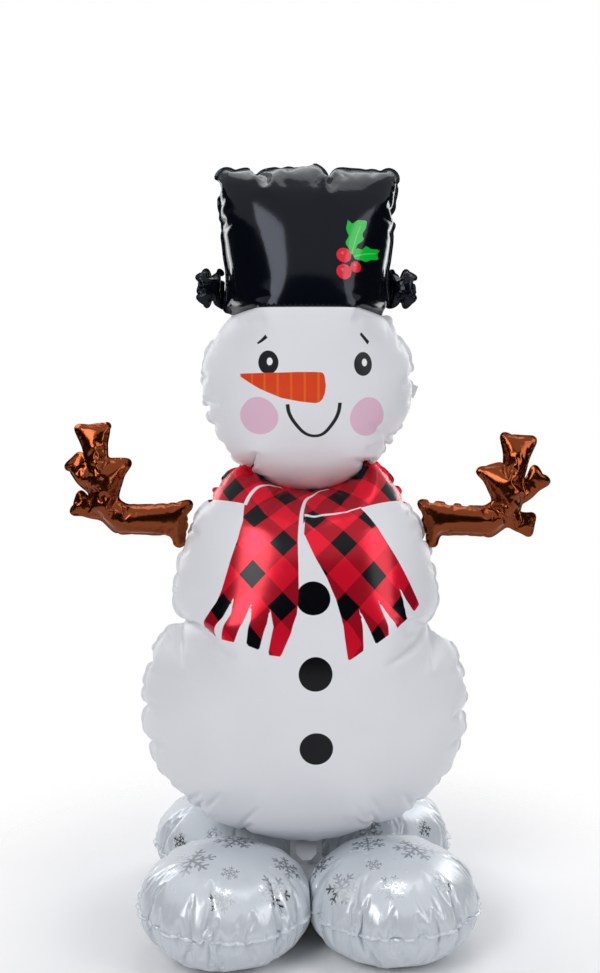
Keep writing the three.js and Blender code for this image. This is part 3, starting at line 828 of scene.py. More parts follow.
        def neck_band(at: Array) -> Array:
            """How near points are to the neck's weld: 1 on it, 0 away from it."""
            across, up = at[:, 0] / self.head.half_width, at[:, 2] - self.head.middle
            near = np.abs(np.hypot(across, up / self.head.below) - 1)
            inner = (np.abs(at[:, 0]) < neck[0] - 0.004) & (at[:, 2] < neck[1] + 0.03)
            return np.where(inner & (near < 0.2), 1.0, 0.0)

        hem = Hem(lambda at: self.hem - (self.hem - self.neck_hem) * neck_band(at))
        front_up, back_up = above_neck(bag.front), above_neck(bag.back)
        skin, source, faces = closed_chamber(points, bag.front[~front_up], bag.back[~back_up], hem)
        skin, quads, cut, _ = refined(skin, faces, bag.flat[source])
        self.body_film = film_piece("body_film", skin, quads.tolist(), cut, rim)
        skin, source, faces = closed_chamber(points, bag.front[front_up], bag.back[back_up], hem)
        spots = np.array([home[source[face]].mean(0) for face in faces])
        is_hat = spots[:, 1] > self.hat_line(foot, spots[:, 0])[:, 1]
        skin, quads, cut, tags = refined(skin, faces, bag.flat[source], is_hat)

        def part(name: str, tag: int) -> bpy.types.Object:
            """The head or the hat, closed where they join, with that closure shaded flat."""
            own, shell, caps, own_cut = closed_part(skin, quads, tags == tag, cut)
            item = film_piece(name, own, shell, own_cut, rim)
            smooth = np.arange(len(shell)) < len(shell) - caps
            item.data.polygons.foreach_set("use_smooth", smooth)
            return item

        self.head_film = part("head_film", 0)
        self.hat_film = part("hat_film", 1)

    def attach(self) -> None:
        """Say which bodies the films ride on and which plies they stand for."""
        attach(self.body_film, "figure")
        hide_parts("body_front_ply", "body_back_ply")
        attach(self.head_film, "head")
        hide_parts("head_front_ply", "head_back_ply")
        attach(self.hat_film, "head")
        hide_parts("hat_front_ply", "hat_back_ply")


# ------------------------------------------------------------------ the base: four cushions
@dataclass
class Cushion:
    """One round pillow of the base, pressed by its neighbours and the floor.

    Attributes:
        side: -1 for left, 1 for right.
        row: -1 for front, 1 for back.
        yaw: How the pillow's creases are turned, in radians.
        across: From the base's middle to the pillow's, to the side.
        along: The same, to front or back.
        seam: The height of its seam.
        gap: What is left between it and the middle plane.
        press: How soon it gives way to its neighbours and the floor.
    """

    side: int
    row: int
    yaw: float
    across: float = 0.146
    along: float = 0.138
    seam: float = 0.084
    gap: float = 0.3 * MM
    press: float = 2.0 * MM
    hem: float = 6 * MM
    film: Optional[bpy.types.Object] = None

    @property
    def name(self) -> str:
        """The cushion's name, as its plies have it."""
        row, side = "front" if self.row < 0 else "back", "left" if self.side < 0 else "right"
        return f"{row}_{side}_cushion"

    def _pressed(self, distance: Array) -> Array:
        """Keep distances d above zero: half of d plus the root of d and the press, both squared."""
        return (distance + np.sqrt(distance**2 + self.press**2)) / 2

    def build(self, bag: FilmBag, radius: float) -> None:
        """Lay the blown-up pillow in its place and press it.

        Args:
            bag: The pillow, standing in the plane y = 0 with its middle at the origin.
            radius: The size its rim should have.
        """
        rim = bag.points[bag.on_rim()]
        scale = radius / np.hypot(rim[:, 0], rim[:, 2]).mean()
        hem = Hem(lambda at: np.full(len(at), self.hem))
        skin, source, faces = closed_chamber(bag.points * scale, bag.front, bag.back, hem)
        skin, quads, cut, _ = refined(skin, faces, bag.flat[source])
        c, s = math.cos(self.yaw), math.sin(self.yaw)
        x, y, z = skin[:, 0], skin[:, 2], -skin[:, 1]
        x, y = c * x - s * y, s * x + c * y
        x = self.gap + self._pressed(self.across + self.side * x - self.gap)
        y = self.gap + self._pressed(self.along + self.row * y - self.gap)
        z = self._pressed(self.seam + z)
        place = np.column_stack([self.side * x, self.row * y, z])
        self.film = film_piece(self.name + "_film", place, quads.tolist(), cut, bag.rim)

    def attach(self) -> None:
        """Ride on the base and stand for the cushion's two plies."""
        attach(self.film, "base")
        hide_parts(self.name + "_top_ply", self.name + "_bottom_ply")


@dataclass
class Base:
    """The four cushions that the figure stands on, each cut from discs of flat_radius."""

    radius: float = 0.149
    flat_radius: float = 0.1954
    cushions: list[Cushion] = field(default_factory=lambda: [
        Cushion(-1, -1, 0.35), Cushion(1, -1, 2.1), Cushion(-1, 1, 3.6), Cushion(1, 1, 5.0),
    ])

    def build(self, coarse: bool) -> None:
        """Blow up one pillow and lay it four times, turned differently each time."""
        step = 0.0105 if coarse else 0.0062
        count = int(2 * math.pi * self.flat_radius / step)
        turn = np.linspace(0.0, 2 * math.pi, count, endpoint=False)
        disc = self.flat_radius * np.column_stack([np.cos(turn), np.sin(turn)])
        bag = FilmBag("cushion_bag", disc, step, 15).blow_up()
        for cushion in self.cushions:
            cushion.build(bag, self.radius)

    def attach(self) -> None:
        """Attach each cushion."""
        for cushion in self.cushions:
            cushion.attach()


# ------------------------------------------------------------------ arms and brim ends
class FilmSlot(Enum):
    """The record's material slots that limbs take."""

    BLACK = "black_film"
    COPPER = "copper_film"


@dataclass(frozen=True)
class Strip:
    """A strip of flat film along a line: its half width changes evenly from station to station.

    Attributes:
        stations: Rows of (x, z, half width), in millimetres.
    """

    stations: tuple[tuple[float, float, float], ...]

    def outline(self) -> Array:
        """The strip's edge in metres: its line moved both ways along the normal by half widths."""
        rows = np.array(self.stations) * MM
        line, half = rows[:, :2], rows[:, 2:]
        along = np.gradient(line, axis=0)
        along /= np.linalg.norm(along, axis=1, keepdims=True)
        normal = np.column_stack([-along[:, 1], along[:, 0]])
        return np.vstack([line + normal * half, (line - normal * half)[::-1]])


def merged_outline(outlines: list[Array], step: float, rounding: int = 2) -> Array:
    """The outer edge of overlapping outlines, evenly stepped, with its corners rounded a little.

    Args:
        outlines: Closed outlines, each overlapping another.
        step: Distance between the points of the result.
        rounding: How many times each point moves halfway to the mean of its neighbours.

    Returns:
        Rows of (x, z).
    """
    edges: list[list[int]] = []
    count = 0
    for outline in outlines:
        edges += ring_edges(len(outline), count)
        count += len(outline)
    spots, faces = triangulated(np.vstack(outlines), edges)
    following = {int(a): int(b) for a, b in boundary(faces)}
    start = int(np.argmin(spots[:, 0]))
    if start not in following:
        start = min(following, key=lambda k: spots[k, 0])
    ring = [start]
    while following[ring[-1]] != start:
        ring.append(following[ring[-1]])
    rim = resample(spots[ring], step)
    for _ in range(rounding):
        rim = 0.25 * np.roll(rim, 1, axis=0) + 0.5 * rim + 0.25 * np.roll(rim, -1, axis=0)
    return resample(rim, step)


def turned(points: Array, centre: Array, axis: Array, angle: float) -> Array:
    """Turn points p about an axis k by a: p cos a + (k x p) sin a + k (k . p)(1 - cos a)."""
    p = points - centre
    c, s = math.cos(angle), math.sin(angle)
    return centre + p * c + np.cross(axis, p) * s + np.outer(p @ axis, axis) * (1 - c)


@dataclass
class Limb:
    """A small branching chamber whose flat root is welded to the seam of a larger one.

    Attributes:
        name: The name that its plies and body start with.
        slot: The material slot it takes its finish from.
        root: The middle of its weld, (x, z).
        out: The direction away from the weld, a unit (x, z).
        strips: Its flat cut, in millimetres from the root.
        turn: How far it leans to the front about its weld, in radians.
        hem: How far its sealed edge stands out.
        root_hem: The same at its root, where it reaches the larger chamber.
        step: Distance between the film's mesh points.
        seed: Seeds the film's unevenness.
    """

    COARSER: ClassVar[float] = 1.6
    # How far the chamber starts from its weld, and how far out its root's edge and hem reach.
    START: ClassVar[float] = 6 * MM
    ROOT_EDGE: ClassVar[float] = 10 * MM
    ROOT_STRIP: ClassVar[float] = 9 * MM
    THICKNESS: ClassVar[float] = 1.2 * MM

    name: str
    slot: FilmSlot
    root: tuple[float, float]
    out: tuple[float, float]
    strips: tuple[Strip, ...]
    turn: float = 0.0
    hem: float = 4 * MM
    root_hem: float = 7.5 * MM
    step: float = 0.0042
    seed: int = 5
    film: Optional[bpy.types.Object] = None

    def build(self, coarse: bool) -> None:
        """Cut, inflate and close the chamber, and set it on its weld at its own size."""
        step = self.step * (self.COARSER if coarse else 1.0)
        rim = merged_outline([strip.outline() for strip in self.strips], step)
        bag = FilmBag(self.name + "_bag", rim, step, 14, seed=self.seed).blow_up()
        out = np.array(self.out)
        on_rim = bag.on_rim()
        at_root = on_rim & (bag.flat @ out < self.ROOT_EDGE)
        points = bag.points - bag.points[at_root].mean(0)
        front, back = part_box(self.name + "_front_ply"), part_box(self.name + "_back_ply")
        low, high = np.minimum(front[0], back[0]), np.maximum(front[1], back[1])
        side = math.copysign(1.0, self.out[0])
        start = np.array(self.root) + out * self.START
        far = high[0] if side > 0 else low[0]
        reach = abs(far - start[0]) / max(math.cos(self.turn), 0.1) - self.hem
        wide = reach / (side * points[on_rim, 0]).max()
        tall = wide
        if self.turn == 0.0:
            tall = (high[2] - start[1] - self.hem) / points[on_rim, 2].max()
        put = points * [wide, 1.0, tall] + [start[0], 0.0, start[1]]

        def width(at: Array) -> Array:
            """The hem's width: wider at the weld."""
            from_root = (at[:, [0, 2]] - np.array(self.root)) @ out
            return np.where(from_root < self.ROOT_STRIP, self.root_hem, self.hem)

        hem = Hem(width, self.THICKNESS)
        skin, source, faces = closed_chamber(put, bag.front, bag.back, hem)
        skin, quads, cut, _ = refined(skin, faces, bag.flat[source])
        if self.turn:
            axis = np.array([-self.out[1] * side, 0.0, self.out[0] * side])
            centre = np.array([self.root[0], 0.0, self.root[1]])
            skin = turned(skin, centre, axis, -side * self.turn)
        self.film = film_piece(self.name + "_film", skin, quads.tolist(), cut, rim)

    def attach(self) -> None:
        """Ride on its own body and stand for its two plies."""
        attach(self.film, self.name)
        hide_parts(self.name + "_front_ply", self.name + "_back_ply")


@dataclass
class Limbs:
    """The two twig arms and the two ends of the hat's brim.

    Roots and directions are those of the right-hand ones, and their mirror images give the left.
    """

    arm_root: tuple[float, float] = (0.21968, 0.73386)
    arm_out: tuple[float, float] = (0.90502, 0.42537)
    brim_root: tuple[float, float] = (0.15243, 1.17137)
    brim_out: tuple[float, float] = (0.99732, -0.07312)
    brim_turn: float = math.radians(24.0)
    parts: list[Limb] = field(default_factory=list)

    def _arm(self, side: int, palm: tuple, fingers: tuple) -> Limb:
        """Lay out an arm.

        Args:
            side: -1 for left, 1 for right.
            palm: Points of its palm's line.
            fingers: Each one's start and end, its half width and its tip's.

        Returns:
            The arm. A finger keeps its width for three quarters of its length.
        """
        ox, oz = self.arm_out
        sleeve = [(side * ox * run, oz * run, half) for run, half in ((6, 38), (18, 36), (34, 32))]
        strips = [Strip(tuple(sleeve + [(side * x, z, 32.0) for x, z in palm]))]
        for (ax, az), (bx, bz), half, tip in fingers:
            strips.append(Strip((
                (side * ax, az, half * 1.05),
                (side * (3 * bx + ax) / 4, (3 * bz + az) / 4, half),
                (side * bx, bz, tip),
            )))
        name = "left_arm" if side < 0 else "right_arm"
        root = (side * self.arm_root[0], self.arm_root[1])
        return Limb(name, FilmSlot.COPPER, root, (side * ox, oz), tuple(strips), seed=6 + side)

    def _brim(self, side: int) -> Limb:
        """A brim end: a short neck with three puffed lobes at its tip."""
        lines = (
            ((6, 0, 38), (20, 0, 36), (34, -1, 31), (48, -1, 30)),
            ((36, 8, 20), (52, 26, 19), (60, 36, 17)),
            ((36, 0, 20), (58, 2, 18), (70, 3, 16)),
            ((36, -8, 20), (52, -24, 19), (60, -33, 17)),
        )
        strips = tuple(Strip(tuple((x * side, z, half) for x, z, half in line)) for line in lines)
        name = "left_brim" if side < 0 else "right_brim"
        root = (side * self.brim_root[0], self.brim_root[1])
        out = (side * self.brim_out[0], self.brim_out[1])
        return Limb(name, FilmSlot.BLACK, root, out, strips, turn=self.brim_turn, hem=3 * MM,
                    root_hem=10 * MM, step=0.0034, seed=16 + side)

    def build(self, coarse: bool) -> None:
        """Build the arms, then the brim ends."""
        left_palm = ((62, 22), (118, 36), (146, 60), (157, 84))
        left = (
            ((150, 66), (183, 190), 26, 31), ((138, 50), (126, 140), 18.5, 25),
            ((150, 66), (224, 124), 14.5, 19), ((126, 38), (207, 52), 14.5, 21),
        )
        right_palm = ((64, 20), (118, 28), (150, 48), (162, 66))
        right = (
            ((152, 50), (192, 170), 27, 31), ((146, 44), (125, 128), 18.5, 25),
            ((154, 52), (234, 94), 15.5, 20), ((138, 40), (203, 12), 14.5, 19),
        )
        self.parts = [self._arm(-1, left_palm, left), self._arm(1, right_palm, right),
                      self._brim(-1), self._brim(1)]
        for part in self.parts:
            part.build(coarse)

    def attach(self) -> None:
        """Attach each part."""
        for part in self.parts:
            part.attach()


# ------------------------------------------------------------------ materials
def linear(colour: str, alpha: float = 1.0) -> tuple[float, float, float, float]:
    """An sRGB hex colour as linear light.

    Each share v is v / 12.92 up to 0.04045, and above it ((v + 0.055) / 1.055) to the power 2.4.
    """
    parts = [int(colour.lstrip("#")[k:k + 2], 16) / 255 for k in (0, 2, 4)]
    red, green, blue = [v / 12.92 if v <= 0.04045 else ((v + 0.055) / 1.055) ** 2.4 for v in parts]
    return red, green, blue, alpha


def add_node(
    tree: bpy.types.NodeTree, kind: str, settings: Optional[dict] = None, **inputs
) -> bpy.types.Node:
    """Add a node, with its settings and its inputs.

    Args:
        tree: The material's node tree.
        kind: The node's type, without the ShaderNode prefix.
        settings: Its properties by name.
        **inputs: Its inputs by name, with _ for a space, or by number as i0, i1 and so on. A
            socket is linked, and anything else is set.

    Returns:
        The node.
    """
    node = tree.nodes.new("ShaderNode" + kind)
    for name, value in (settings or {}).items():
        setattr(node, name, value)
    for name, value in inputs.items():
        numbered = name[0] == "i" and name[1:].isdigit()
        socket = node.inputs[int(name[1:])] if numbered else node.inputs[name.replace("_", " ")]
        if isinstance(value, Socket):
            tree.links.new(value, socket)
        else:
            socket.default_value = value
    return node


def node_material(name: str) -> tuple[bpy.types.Material, bpy.types.NodeTree]:
    """A new material and its node tree, which is empty."""
    material = bpy.data.materials.new(name)
    material.use_nodes = True
    material.node_tree.nodes.clear()
    return material, material.node_tree


class Sum(Enum):
    """The arithmetic that the patterns use."""

    ADD = "ADD"
    SUBTRACT = "SUBTRACT"
    MULTIPLY = "MULTIPLY"
    DIVIDE = "DIVIDE"
    MIN = "MINIMUM"
    MAX = "MAXIMUM"
    ABS = "ABSOLUTE"
    ANGLE = "ARCTAN2"
    COSINE = "COSINE"
    SINE = "SINE"
    PING_PONG = "PINGPONG"
    ROOT = "SQRT"


@dataclass
class Pattern:
    """The node tree of one material, with short ways to work out numbers and colours in it."""

    tree: bpy.types.NodeTree

    def sum(self, kind: Sum, *terms: "Socket | float") -> Socket:
        """One arithmetic step on sockets or numbers."""
        values = {f"i{number}": term for number, term in enumerate(terms)}
        return add_node(self.tree, "Math", {"operation": kind.value}, **values).outputs[0]

    def kept(self, name: str) -> Socket:
        """A number kept on the mesh."""
        return add_node(self.tree, "Attribute", {"attribute_name": name}).outputs["Fac"]

    def vector(self, name: str) -> tuple[Socket, Socket, Socket]:
        """A vector kept on the mesh, as three numbers."""
        node = add_node(self.tree, "Attribute", {"attribute_name": name})
        parts = add_node(self.tree, "SeparateXYZ", None, Vector=node.outputs["Vector"])
        return parts.outputs[0], parts.outputs[1], parts.outputs[2]

    def place(self) -> Socket:
        """The point's place in the object's frame, in metres."""
        return add_node(self.tree, "TexCoord").outputs["Object"]

    def inside(self, distance: Socket, edge: float = 0.5 * MM) -> Socket:
        """1 where a distance is below zero, 0 above, with a ramp as wide as a print's soft edge."""
        ramp = add_node(self.tree, "MapRange", {"clamp": True}, Value=distance, From_Min=-edge,
                        From_Max=edge, To_Min=1.0, To_Max=0.0)
        return ramp.outputs[0]

    def noise(self, size: float, detail: float = 2.0, stretch: Optional[tuple] = None) -> Socket:
        """Noise from 0 to 1, its lumps about size metres across and drawn out by stretch."""
        where = self.place()
        if stretch:
            where = add_node(self.tree, "Mapping", None, Vector=where, Scale=stretch).outputs[0]
        lumps = add_node(self.tree, "TexNoise", None, Vector=where, Scale=1.0 / size, Detail=detail)
        return lumps.outputs["Fac"]

    def creases(self, apart: float, reach: float) -> Socket:
        """Gathers that run in from a seam: noise along the seam, fading with the distance from it.

        Args:
            apart: How far apart the gathers are, in millimetres.
            reach: Where they have faded, in millimetres from the seam.

        Returns:
            Their height, from 0 to 1.
        """
        distance, along, _ = self.vector("rim")
        lumps = self.noise(0.05, 1.0)
        bend = self.sum(Sum.MULTIPLY, lumps, 0.6)
        place = self.sum(Sum.ADD, self.sum(Sum.DIVIDE, along, apart), bend)
        row = add_node(self.tree, "TexNoise", {"noise_dimensions": "1D"}, W=place, Scale=1.0,
                       Detail=1.5)
        length = self.sum(Sum.MULTIPLY, self.grade(lumps, 0.5, 1.9), reach)
        fade = add_node(self.tree, "MapRange", {"interpolation_type": "SMOOTHSTEP"},
                        Value=distance, From_Min=0.0, From_Max=length, To_Min=1.0, To_Max=0.0)
        return self.sum(Sum.MULTIPLY, row.outputs["Fac"], fade.outputs[0])

    def rest(self, share: Socket) -> Socket:
        """One less a share."""
        return self.sum(Sum.SUBTRACT, 1.0, share)

    def stroke(self, name: str) -> Socket:
        """1 on a printed line kept on the mesh: inside its half width and not past its ends."""
        offset, past, _ = self.vector(name)
        wide = self.sum(Sum.SUBTRACT, self.sum(Sum.ABS, offset), 1.0)
        return self.sum(Sum.MIN, self.inside(wide, 0.14), self.inside(past, 0.6))

    def blend(self, share: Socket, under: "Socket | tuple", over: "Socket | tuple") -> Socket:
        """The colour under, covered by the colour over as far as share says."""
        node = add_node(self.tree, "Mix", {"data_type": "RGBA"}, i0=share, i6=under, i7=over)
        return node.outputs[2]

    def grade(self, share: Socket, low: float, high: float) -> Socket:
        """A number that goes from low to high as share goes from 0 to 1."""
        scale = add_node(self.tree, "MapRange", None, Value=share, To_Min=low, To_Max=high)
        return scale.outputs[0]

    def cover(self, shape: str, edge: float, under: Socket, over: "Socket | str") -> Socket:
        """The colour under, with an ink printed over it where a shape kept on the mesh is."""
        ink = linear(over) if isinstance(over, str) else over
        return self.blend(self.inside(self.kept(shape), edge), under, ink)


@dataclass(frozen=True)
class FilmFinish:
    """A metallised nylon film with a coat of ink.

    Attributes:
        name: The material's name.
        ink: The coat's colour.
        metal: How much of the metal shows, from 0 to 1.
        roughness: Of the film's surface.
        sheen: How much the fine wrinkles vary the roughness.
        wrinkle: The height of the fine wrinkles, in metres.
        wrinkle_size: How far apart they are, in metres.
        pucker: The height of the gathers along a seam, in metres.
        pucker_apart: How far apart the gathers are, in millimetres.
        pucker_reach: How far they run in from the seam before they fade, in millimetres.
        specular: The film's gloss, 0.5 for a plain plastic.
    """

    name: str
    ink: str
    metal: float
    roughness: float
    sheen: float
    wrinkle: float
    wrinkle_size: float
    pucker: float = 0.0
    pucker_apart: float = 7.0
    pucker_reach: float = 26.0
    specular: float = 0.5

    def make(self, artwork: Optional[Callable] = None) -> bpy.types.Material:
        """Build the material.

        Args:
            artwork: Given the pattern, the colour and the roughness, it returns the printed
                colour, the roughness, and a socket or None for the share of metal.

        Returns:
            The material, all of it in nodes.
        """
        material, tree = node_material(self.name)
        pattern = Pattern(tree)
        tone = pattern.noise(0.11, 1.0)
        crease = pattern.creases(self.pucker_apart, self.pucker_reach)
        ink = linear(self.ink)
        shade = tuple(0.93 * v for v in ink[:3]) + (1.0,)
        colour = pattern.blend(tone, shade, ink)
        fine = pattern.noise(self.wrinkle_size, 3.0)
        rough = pattern.grade(fine, self.roughness - self.sheen, self.roughness + self.sheen)
        metal = None
        if artwork:
            colour, rough, metal = artwork(pattern, colour, rough)
        puckers = add_node(tree, "Bump", None, Strength=1.0, Distance=self.pucker, Height=crease)
        bump = add_node(tree, "Bump", None, Strength=1.0, Distance=self.wrinkle, Height=fine,
                        Normal=puckers.outputs[0])
        shader = add_node(tree, "BsdfPrincipled", None, Base_Color=colour, Roughness=rough,
                          Normal=bump.outputs[0], Metallic=self.metal if metal is None else metal)
        shader.inputs["Specular IOR Level"].default_value = self.specular
        add_node(tree, "OutputMaterial", None, Surface=shader.outputs[0])
        return material


# ------------------------------------------------------------------ printed artwork
@dataclass(frozen=True)
class Patch:
    """A printed area with a closed edge, in millimetres on the flat film."""

    edge: tuple[tuple[float, float], ...]

    def distance(self, cut: Array) -> Array:
        """Signed distance to the edge, negative inside."""
        return signed_distance(cut, np.array(self.edge))


@dataclass(frozen=True)
class Oval:
    """A printed ellipse: its centre and half sizes in millimetres on the flat film."""

    x: float
    z: float
    wide: float
    tall: float

    def distance(self, cut: Array) -> Array:
        """Nearly the distance: the scaled radius less one, times the smaller half size."""
        radius = np.hypot((cut[:, 0] - self.x) / self.wide, (cut[:, 1] - self.z) / self.tall)
        return (radius - 1.0) * min(self.wide, self.tall)


@dataclass(frozen=True)
class Stroke:
    """A printed line that may taper.

    Attributes:
        spots: Points that it passes through, in millimetres on the flat film.
        start: Half its width at the first point.
        end: Half its width at the last.
    """

    spots: tuple[tuple[float, float], ...]
    start: float
    end: float

    def measure(self, cut: Array) -> Array:
        """How far off the line points are, over its half width there, and how far past its ends.

        The offset is signed by the side of the nearest segment, so it runs smoothly through zero.

        Returns:
            Rows of (offset over half width, distance past the ends, 0).
        """
        line = smooth_curve(self.spots, 6)
        run = np.concatenate([[0.0], np.cumsum(np.hypot(*np.diff(line, axis=0).T))])
        best = np.full(len(cut), np.inf)
        signed, share = np.zeros(len(cut)), np.zeros(len(cut))
        for k, (start, end) in enumerate(zip(line[:-1], line[1:])):
            distance, along = side_distance(cut, start, end)
            nearer = distance < best
            side, p = end - start, cut - start
            turn = np.where(side[0] * p[:, 1] - side[1] * p[:, 0] < 0, -1.0, 1.0)
            best = np.where(nearer, distance, best)
            signed = np.where(nearer, turn * distance, signed)
            share = np.where(nearer, (run[k] + along * (run[k + 1] - run[k])) / run[-1], share)
        first, last = unit(line[[1, -1]] - line[[0, -2]])
        past = np.maximum(-(cut - line[0]) @ first, (cut - line[-1]) @ last)
        half = self.start + (self.end - self.start) * share
        return np.column_stack([np.clip(signed / half, -FAR, FAR), past, np.zeros(len(cut))])

    def print_on(self, item: bpy.types.Object, name: str, cut: Array, printed: Array) -> None:
        """Keep the line's measure on a piece under a name, as past its ends where unprinted."""
        rows = self.measure(cut)
        rows[~printed, 1] = FAR
        store_vector(item, name, rows)


def cut_and_front(item: bpy.types.Object) -> tuple[Array, Array]:
    """Where a piece's points lie on the flat film, in millimetres, and which are on its front."""
    return cut_of(item.data), mesh_points(item.data)[:, 1] < 0


def nearest(shapes: "tuple[Patch | Oval, ...]", cut: Array, printed: Array) -> Array:
    """The smallest of some shapes' distances where the film is printed, and far away elsewhere."""
    distance = np.min([shape.distance(cut) for shape in shapes], axis=0)
    return np.where(printed, np.minimum(distance, FAR), FAR)


@dataclass(frozen=True)
class FaceArt:
    """The face printed on the head's front: eyes, brows, carrot nose, cheeks and a smile.

    The carrot's paler rings are stripe_apart apart, counted from stripe_at.
    """

    eyes: tuple[Oval, ...] = (Oval(-71.0, 1227.4, 18.7, 19.6), Oval(98.3, 1222.8, 18.2, 20.0))
    glints: tuple[Oval, ...] = (Oval(-68.2, 1228.9, 5.4, 6.6), Oval(101.0, 1225.3, 5.4, 6.6))
    cheeks: tuple[Oval, ...] = (Oval(-88.0, 1126.0, 35.4, 40.5), Oval(107.0, 1121.5, 34.5, 42.5))
    carrot: Patch = Patch((
        (-126.5, 1201.5), (-125.0, 1205.3), (-98.0, 1208.0), (-70.7, 1210.2), (-20.0, 1212.8),
        (10.0, 1212.9), (22.1, 1212.0), (25.6, 1210.2), (27.6, 1205.0), (29.6, 1188.5),
        (28.2, 1176.0), (23.7, 1164.1), (18.5, 1159.2), (11.8, 1157.6), (-15.0, 1160.7),
        (-46.5, 1166.4), (-87.4, 1181.6), (-110.0, 1193.0),
    ))
    stripe_at: float = -77.1
    stripe_apart: float = 23.5
    smile: Stroke = Stroke((
        (-36.6, 1155.5), (-34.0, 1137.0), (-25.4, 1116.6), (-8.1, 1091.6), (9.5, 1083.5),
        (26.9, 1090.0), (44.2, 1117.0), (52.0, 1138.0), (54.6, 1157.5),
    ), 3.3, 3.3)
    brows: tuple[Stroke, ...] = (
        Stroke(((-93.0, 1257.5), (-83.0, 1263.5), (-74.4, 1270.0)), 1.6, 3.2),
        Stroke(((94.5, 1273.0), (104.0, 1265.0), (113.3, 1256.6)), 2.4, 3.4),
    )

    def print_on(self, head: bpy.types.Object) -> None:
        """Work out the artwork's distances on the head film."""
        cut, front = cut_and_front(head)
        store(head, "eyes", nearest(self.eyes, cut, front))
        store(head, "glints", nearest(self.glints, cut, front))
        store(head, "cheeks", nearest(self.cheeks, cut, front))
        store(head, "carrot", nearest((self.carrot,), cut, front))
        self.smile.print_on(head, "smile", cut, front)
        for number, brow in enumerate(self.brows):
            brow.print_on(head, f"brow_{number}", cut, front)

    def ink(self, pattern: "Pattern", colour: Socket, rough: Socket) -> tuple:
        """Lay the inks over the film: cheeks, eyes, glints, the carrot, then the lines."""
        blush = pattern.inside(pattern.kept("cheeks"), 0.5)
        colour = pattern.blend(pattern.sum(Sum.MULTIPLY, blush, 0.85), colour, linear("#E3B3CD"))
        colour = pattern.cover("eyes", 0.4, colour, "#10121A")
        colour = pattern.cover("glints", 0.4, colour, "#F4F6FA")
        along, _, _ = pattern.vector("cut")
        ring = pattern.sum(Sum.SUBTRACT, along, self.stripe_at)
        ring = pattern.sum(Sum.PING_PONG, pattern.sum(Sum.DIVIDE, ring, self.stripe_apart), 0.5)
        ring = pattern.inside(pattern.sum(Sum.SUBTRACT, ring, 0.075), 0.05)
        streak = pattern.noise(0.02, 3.0, (0.15, 1.0, 1.0))
        flesh = pattern.blend(streak, linear("#DC3C10"), linear("#E2491A"))
        flesh = pattern.blend(pattern.sum(Sum.MULTIPLY, ring, 0.8), flesh, linear("#EE6A20"))
        colour = pattern.cover("carrot", 0.4, colour, flesh)
        for name in ("smile", "brow_0", "brow_1"):
            colour = pattern.blend(pattern.stroke(name), colour, linear("#0C0D12"))
        return colour, rough, None


